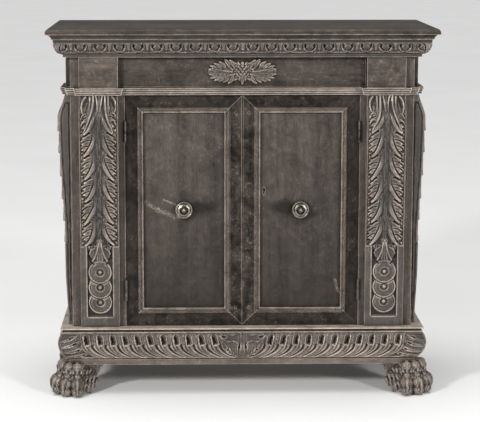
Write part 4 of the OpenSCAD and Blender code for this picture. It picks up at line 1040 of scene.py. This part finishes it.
# Plinth painted lighter, as painted light from low in front
plinth_wood_painted_light = wood("walnut_plinth_painted_light", walnut(0.05), walnut(0.24), "x", 3.1, rub_and_highlight=2.0, wear_and_highlight=0.9, **plain)
carved_wood = wood("walnut_carved", carved_tone, walnut(0.1125), "z", 2.2, rub_and_highlight=3.3, **carved)
carved_run_wood = wood("walnut_carved_moulding", carved_tone, walnut(0.1125), "x", 6.4, rub_and_highlight=3.9, **carved)
paw_wood = wood("walnut_paws", carved_tone, walnut(0.1255), "z", 9.4, dirt_and_shade=0.85, rub_and_highlight=2.2, gloss=0.35,
                specks=0.5)
poplar_x = wood("poplar_along_x", grain="x", seed=1.4, **poplar_look)
poplar_y = wood("poplar_along_y", grain="y", seed=7.7, **poplar_look)
poplar_z = wood("poplar_upright", grain="z", seed=4.9, **poplar_look)
bronze = metal("bronze", (0.07, 0.062, 0.052), (0.36, 0.325, 0.27), rough=0.36)
iron = metal("iron", (0.035, 0.033, 0.031), (0.20, 0.185, 0.17), rough=0.5)


# Pieces

# Consoles: one drawing, carved by hands that stray, set on the front and on both sides
side_verts, side_faces, side_dark = console_mesh(cell=2.1, seed=0.7)
console_mid = (CONSOLE_X0 + CONSOLE_X1) / 2
for name, sign in (("right", 1), ("left", -1)):
    front_verts, front_faces, front_dark = console_mesh(cell=1.5, seed=2.4 + sign)
    mesh_piece(f"front_console_{name}", place(front_verts, ("front", sign * console_mid)), front_faces,
               "case", carved_wood, front_dark, crease=50)
    pair = [place(side_verts, (sign, y)) for y in (SIDE_Y0 + CONSOLE_W / 2, SIDE_Y1 - CONSOLE_W / 2)]
    verts, faces = join(*[(v, side_faces) for v in pair])
    mesh_piece(f"side_consoles_{name}", verts, faces, "case", carved_wood,
               np.tile(side_dark.ravel(), 2), crease=50)

# Carved mouldings
cornice_line = cornice_points()
# Painted shade on the ovolo's top band, under the top's overhang; the rest of the cornice darker in tone
cornice_shade_and_tone = np.where(cornice_line[:, 1] > Z_TOP - 12, 0.4, 0.22)
cornice_back = -21.9
carved_run("cornice_front", [("cornice_sides", [1, -1])], cornice_line,
           [(cornice_back, Z_TOP), (cornice_back, Z_CORNICE)], egg_and_dart, cornice_shade_and_tone,
           cell=1.6, corner_out=21.2, material=carved_run_wood)
base_line = base_points()
base_z = base_line[:, 1]
# Painted highlights on the cap's top and the torus's brow, painted shade in the cove under the cap's edge,
# the lower flutes a little lighter as painted light on their undersides, the rest darker in tone
highlit_bands = (base_z > Z_OPEN - 3.5) | (np.abs(base_z - Z_OPEN + 12) < 2)
cove = ~highlit_bands & (base_z > Z_OPEN - 10.2)
base_light_and_tone = np.select([highlit_bands, cove, base_z < 158], [-0.8, 0.8, -0.06], 0.14)
carved_run("base_front", [("base_right", [1]), ("base_left", [-1])], base_line,
           [(0, Z_OPEN), (0, Z_TORUS)], gadroons, base_light_and_tone,
           cell=2.0, corner_out=30.0, material=carved_run_wood)

# Frieze ornament
orn_low, orn_high = extent("drawer_ornament")
orn_mid_z = (orn_low[2] + orn_high[2]) / 2
orn_w, orn_h = orn_high[0] - orn_low[0], orn_high[2] - orn_low[2]
orn_cell, orn_floor, orn_keep = 1.1, -3.0, -0.5
orn_us, orn_zs = (np.linspace(-size / 2, size / 2, round(size / orn_cell) + 1)
                  for size in (orn_w, orn_h))
orn = ornament_relief(orn_us, orn_zs)
orn_dark = cavity_of(orn, orn_cell, reach=5, depth=4)
verts, faces, used = relief_plate(orn_us, orn_zs, orn, orn_floor, orn_keep)
drawer_face = orn_high[1]
verts = np.stack([verts[:, 0], drawer_face - verts[:, 1], orn_mid_z + verts[:, 2]], -1)
mesh_piece("drawer_ornament", verts, faces, "drawer", carved_wood,
           np.tile(orn_dark.ravel(), 2)[used], crease=60)

# Paws
for which, rear in (("front", False), ("rear", True)):
    co, faces, paw_dark = foot_skin(rear)
    for name, sign in (("right", 1), ("left", -1)):
        mesh_piece(f"foot_{which}_{name}", co * (sign, 1, 1), faces, "case", paw_wood,
                   paw_dark, crease=60, weld=False)

# CAD nodes kept as they are: a finish whose grain runs along each piece, and the width of its eased
# edges, by words in the nodes' names; a later row covers an earlier one
finishes = [
    (("top_board",), top_wood, 0.7),
    (("frieze_side", "drawer_front"), frieze_wood, 0.6),
    (("frieze_block",), block_wood, 0.6),
    (("rails",), rail_wood, 0.5),
    (("ledge",), ledge_wood, 1.2),
    (("plinth_frame",), plinth_wood_painted_light, 1.5),
    (("side_board", "front_stile", "side_frame"), stile_wood_painted_light, 0.6),
    (("meeting_stile",), meeting_stile_painted_light, 0.6),
    (("hinge_stile",), hinge_stile_painted_shade, 0.8),
    (("moulding",), moulding_wood, 0.5),
    (("panel",), panel_wood, 0),
    (("pegs",), peg_wood, 0.3),
    (("back_boards",), poplar_z, 0.6),
    (("bottom_board", "dust_board", "shelf", "drawer_bottom"), poplar_x, 0.6),
    (("shelf_cleats", "drawer_guides", "drawer_box"), poplar_y, 0.6),
    (("knob",), bronze, 0.4),
    (("leaves", "lock_case", "lock_bolt", "lock_keeper", "inner_bolt"), iron, 0.3),
]
for name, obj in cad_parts.items():
    rows = [row for row in finishes if any(word in name for word in row[0])]
    if not rows or obj.hide_render:
        continue
    material, edge = rows[-1][1:]
    obj.data.materials.clear()
    obj.data.materials.append(material)
    if edge:
        eased = obj.modifiers.new("eased_edges", "BEVEL")
        eased.width = edge * MM
        eased.segments = 3
        eased.limit_method = "ANGLE"
        eased.angle_limit = math.radians(40)


# Stage, lights and camera

def stage_floor():
    """Plain pale floor, far larger than the view."""
    s = Shader("studio_floor")
    patches = s.ranged(s.noise(s.spot, 1.5, 3, 0.5), 0.2, 0.8)
    colour = s.mix(patches, (0.65, 0.65, 0.647), (0.69, 0.69, 0.687))
    s.feed(s.surface, {"Base Color": colour, "Roughness": 0.9, "Specular IOR Level": 0.1,
                       "Emission Color": (1, 1, 0.995, 1), "Emission Strength": 0.03})
    far = 80.0
    mesh = bpy.data.meshes.new("studio_floor")
    mesh.from_pydata([(-far, -far, 0), (far, -far, 0), (far, far, 0), (-far, far, 0)], [], [(0, 1, 2, 3)])
    mesh.materials.append(s.material)
    add_object("studio_floor", mesh)


def lamp(name, kind, place, target, power, **settings):
    """Lamp at a place in metres, turned to its target."""
    data = bpy.data.lights.new(name, kind)
    data.energy = power
    for key, value in settings.items():
        setattr(data, key, value)
    obj = add_object(name, data)
    obj.location = place
    obj.rotation_euler = (Vector(target) - Vector(place)).to_track_quat("-Z", "Y").to_euler()


stage_floor()
lamp("key", "AREA", (-4.4, -5.5, 3.3), (0, 0, 0.6), 450, size=0.9)
lamp("fill", "AREA", (4.6, -5.3, 2.8), (0, 0, 0.5), 280, size=1.0)
lamp("sky", "SUN", (0, 0, 0), (0.05, 0.04, -1.0), 2.45, angle=math.radians(42))

world = bpy.data.worlds.new("studio")
bpy.context.scene.world = world
world.use_nodes = True
background = world.node_tree.nodes["Background"]
background.inputs["Color"].default_value = (1, 1, 1, 1)
background.inputs["Strength"].default_value = 0.19

camera_data = bpy.data.cameras.new("camera")
camera_data.lens = 122.2
camera_data.sensor_width = 36
camera_data.shift_x = 0.038
camera_data.shift_y = -0.12
camera = add_object("camera", camera_data)
camera.location = (-0.154, -5.036, 1.422)
camera.rotation_euler = (math.radians(90 - 7.98), 0, math.radians(-1.08))
bpy.context.scene.camera = camera
bpy.context.scene.view_settings.view_transform = "Standard"
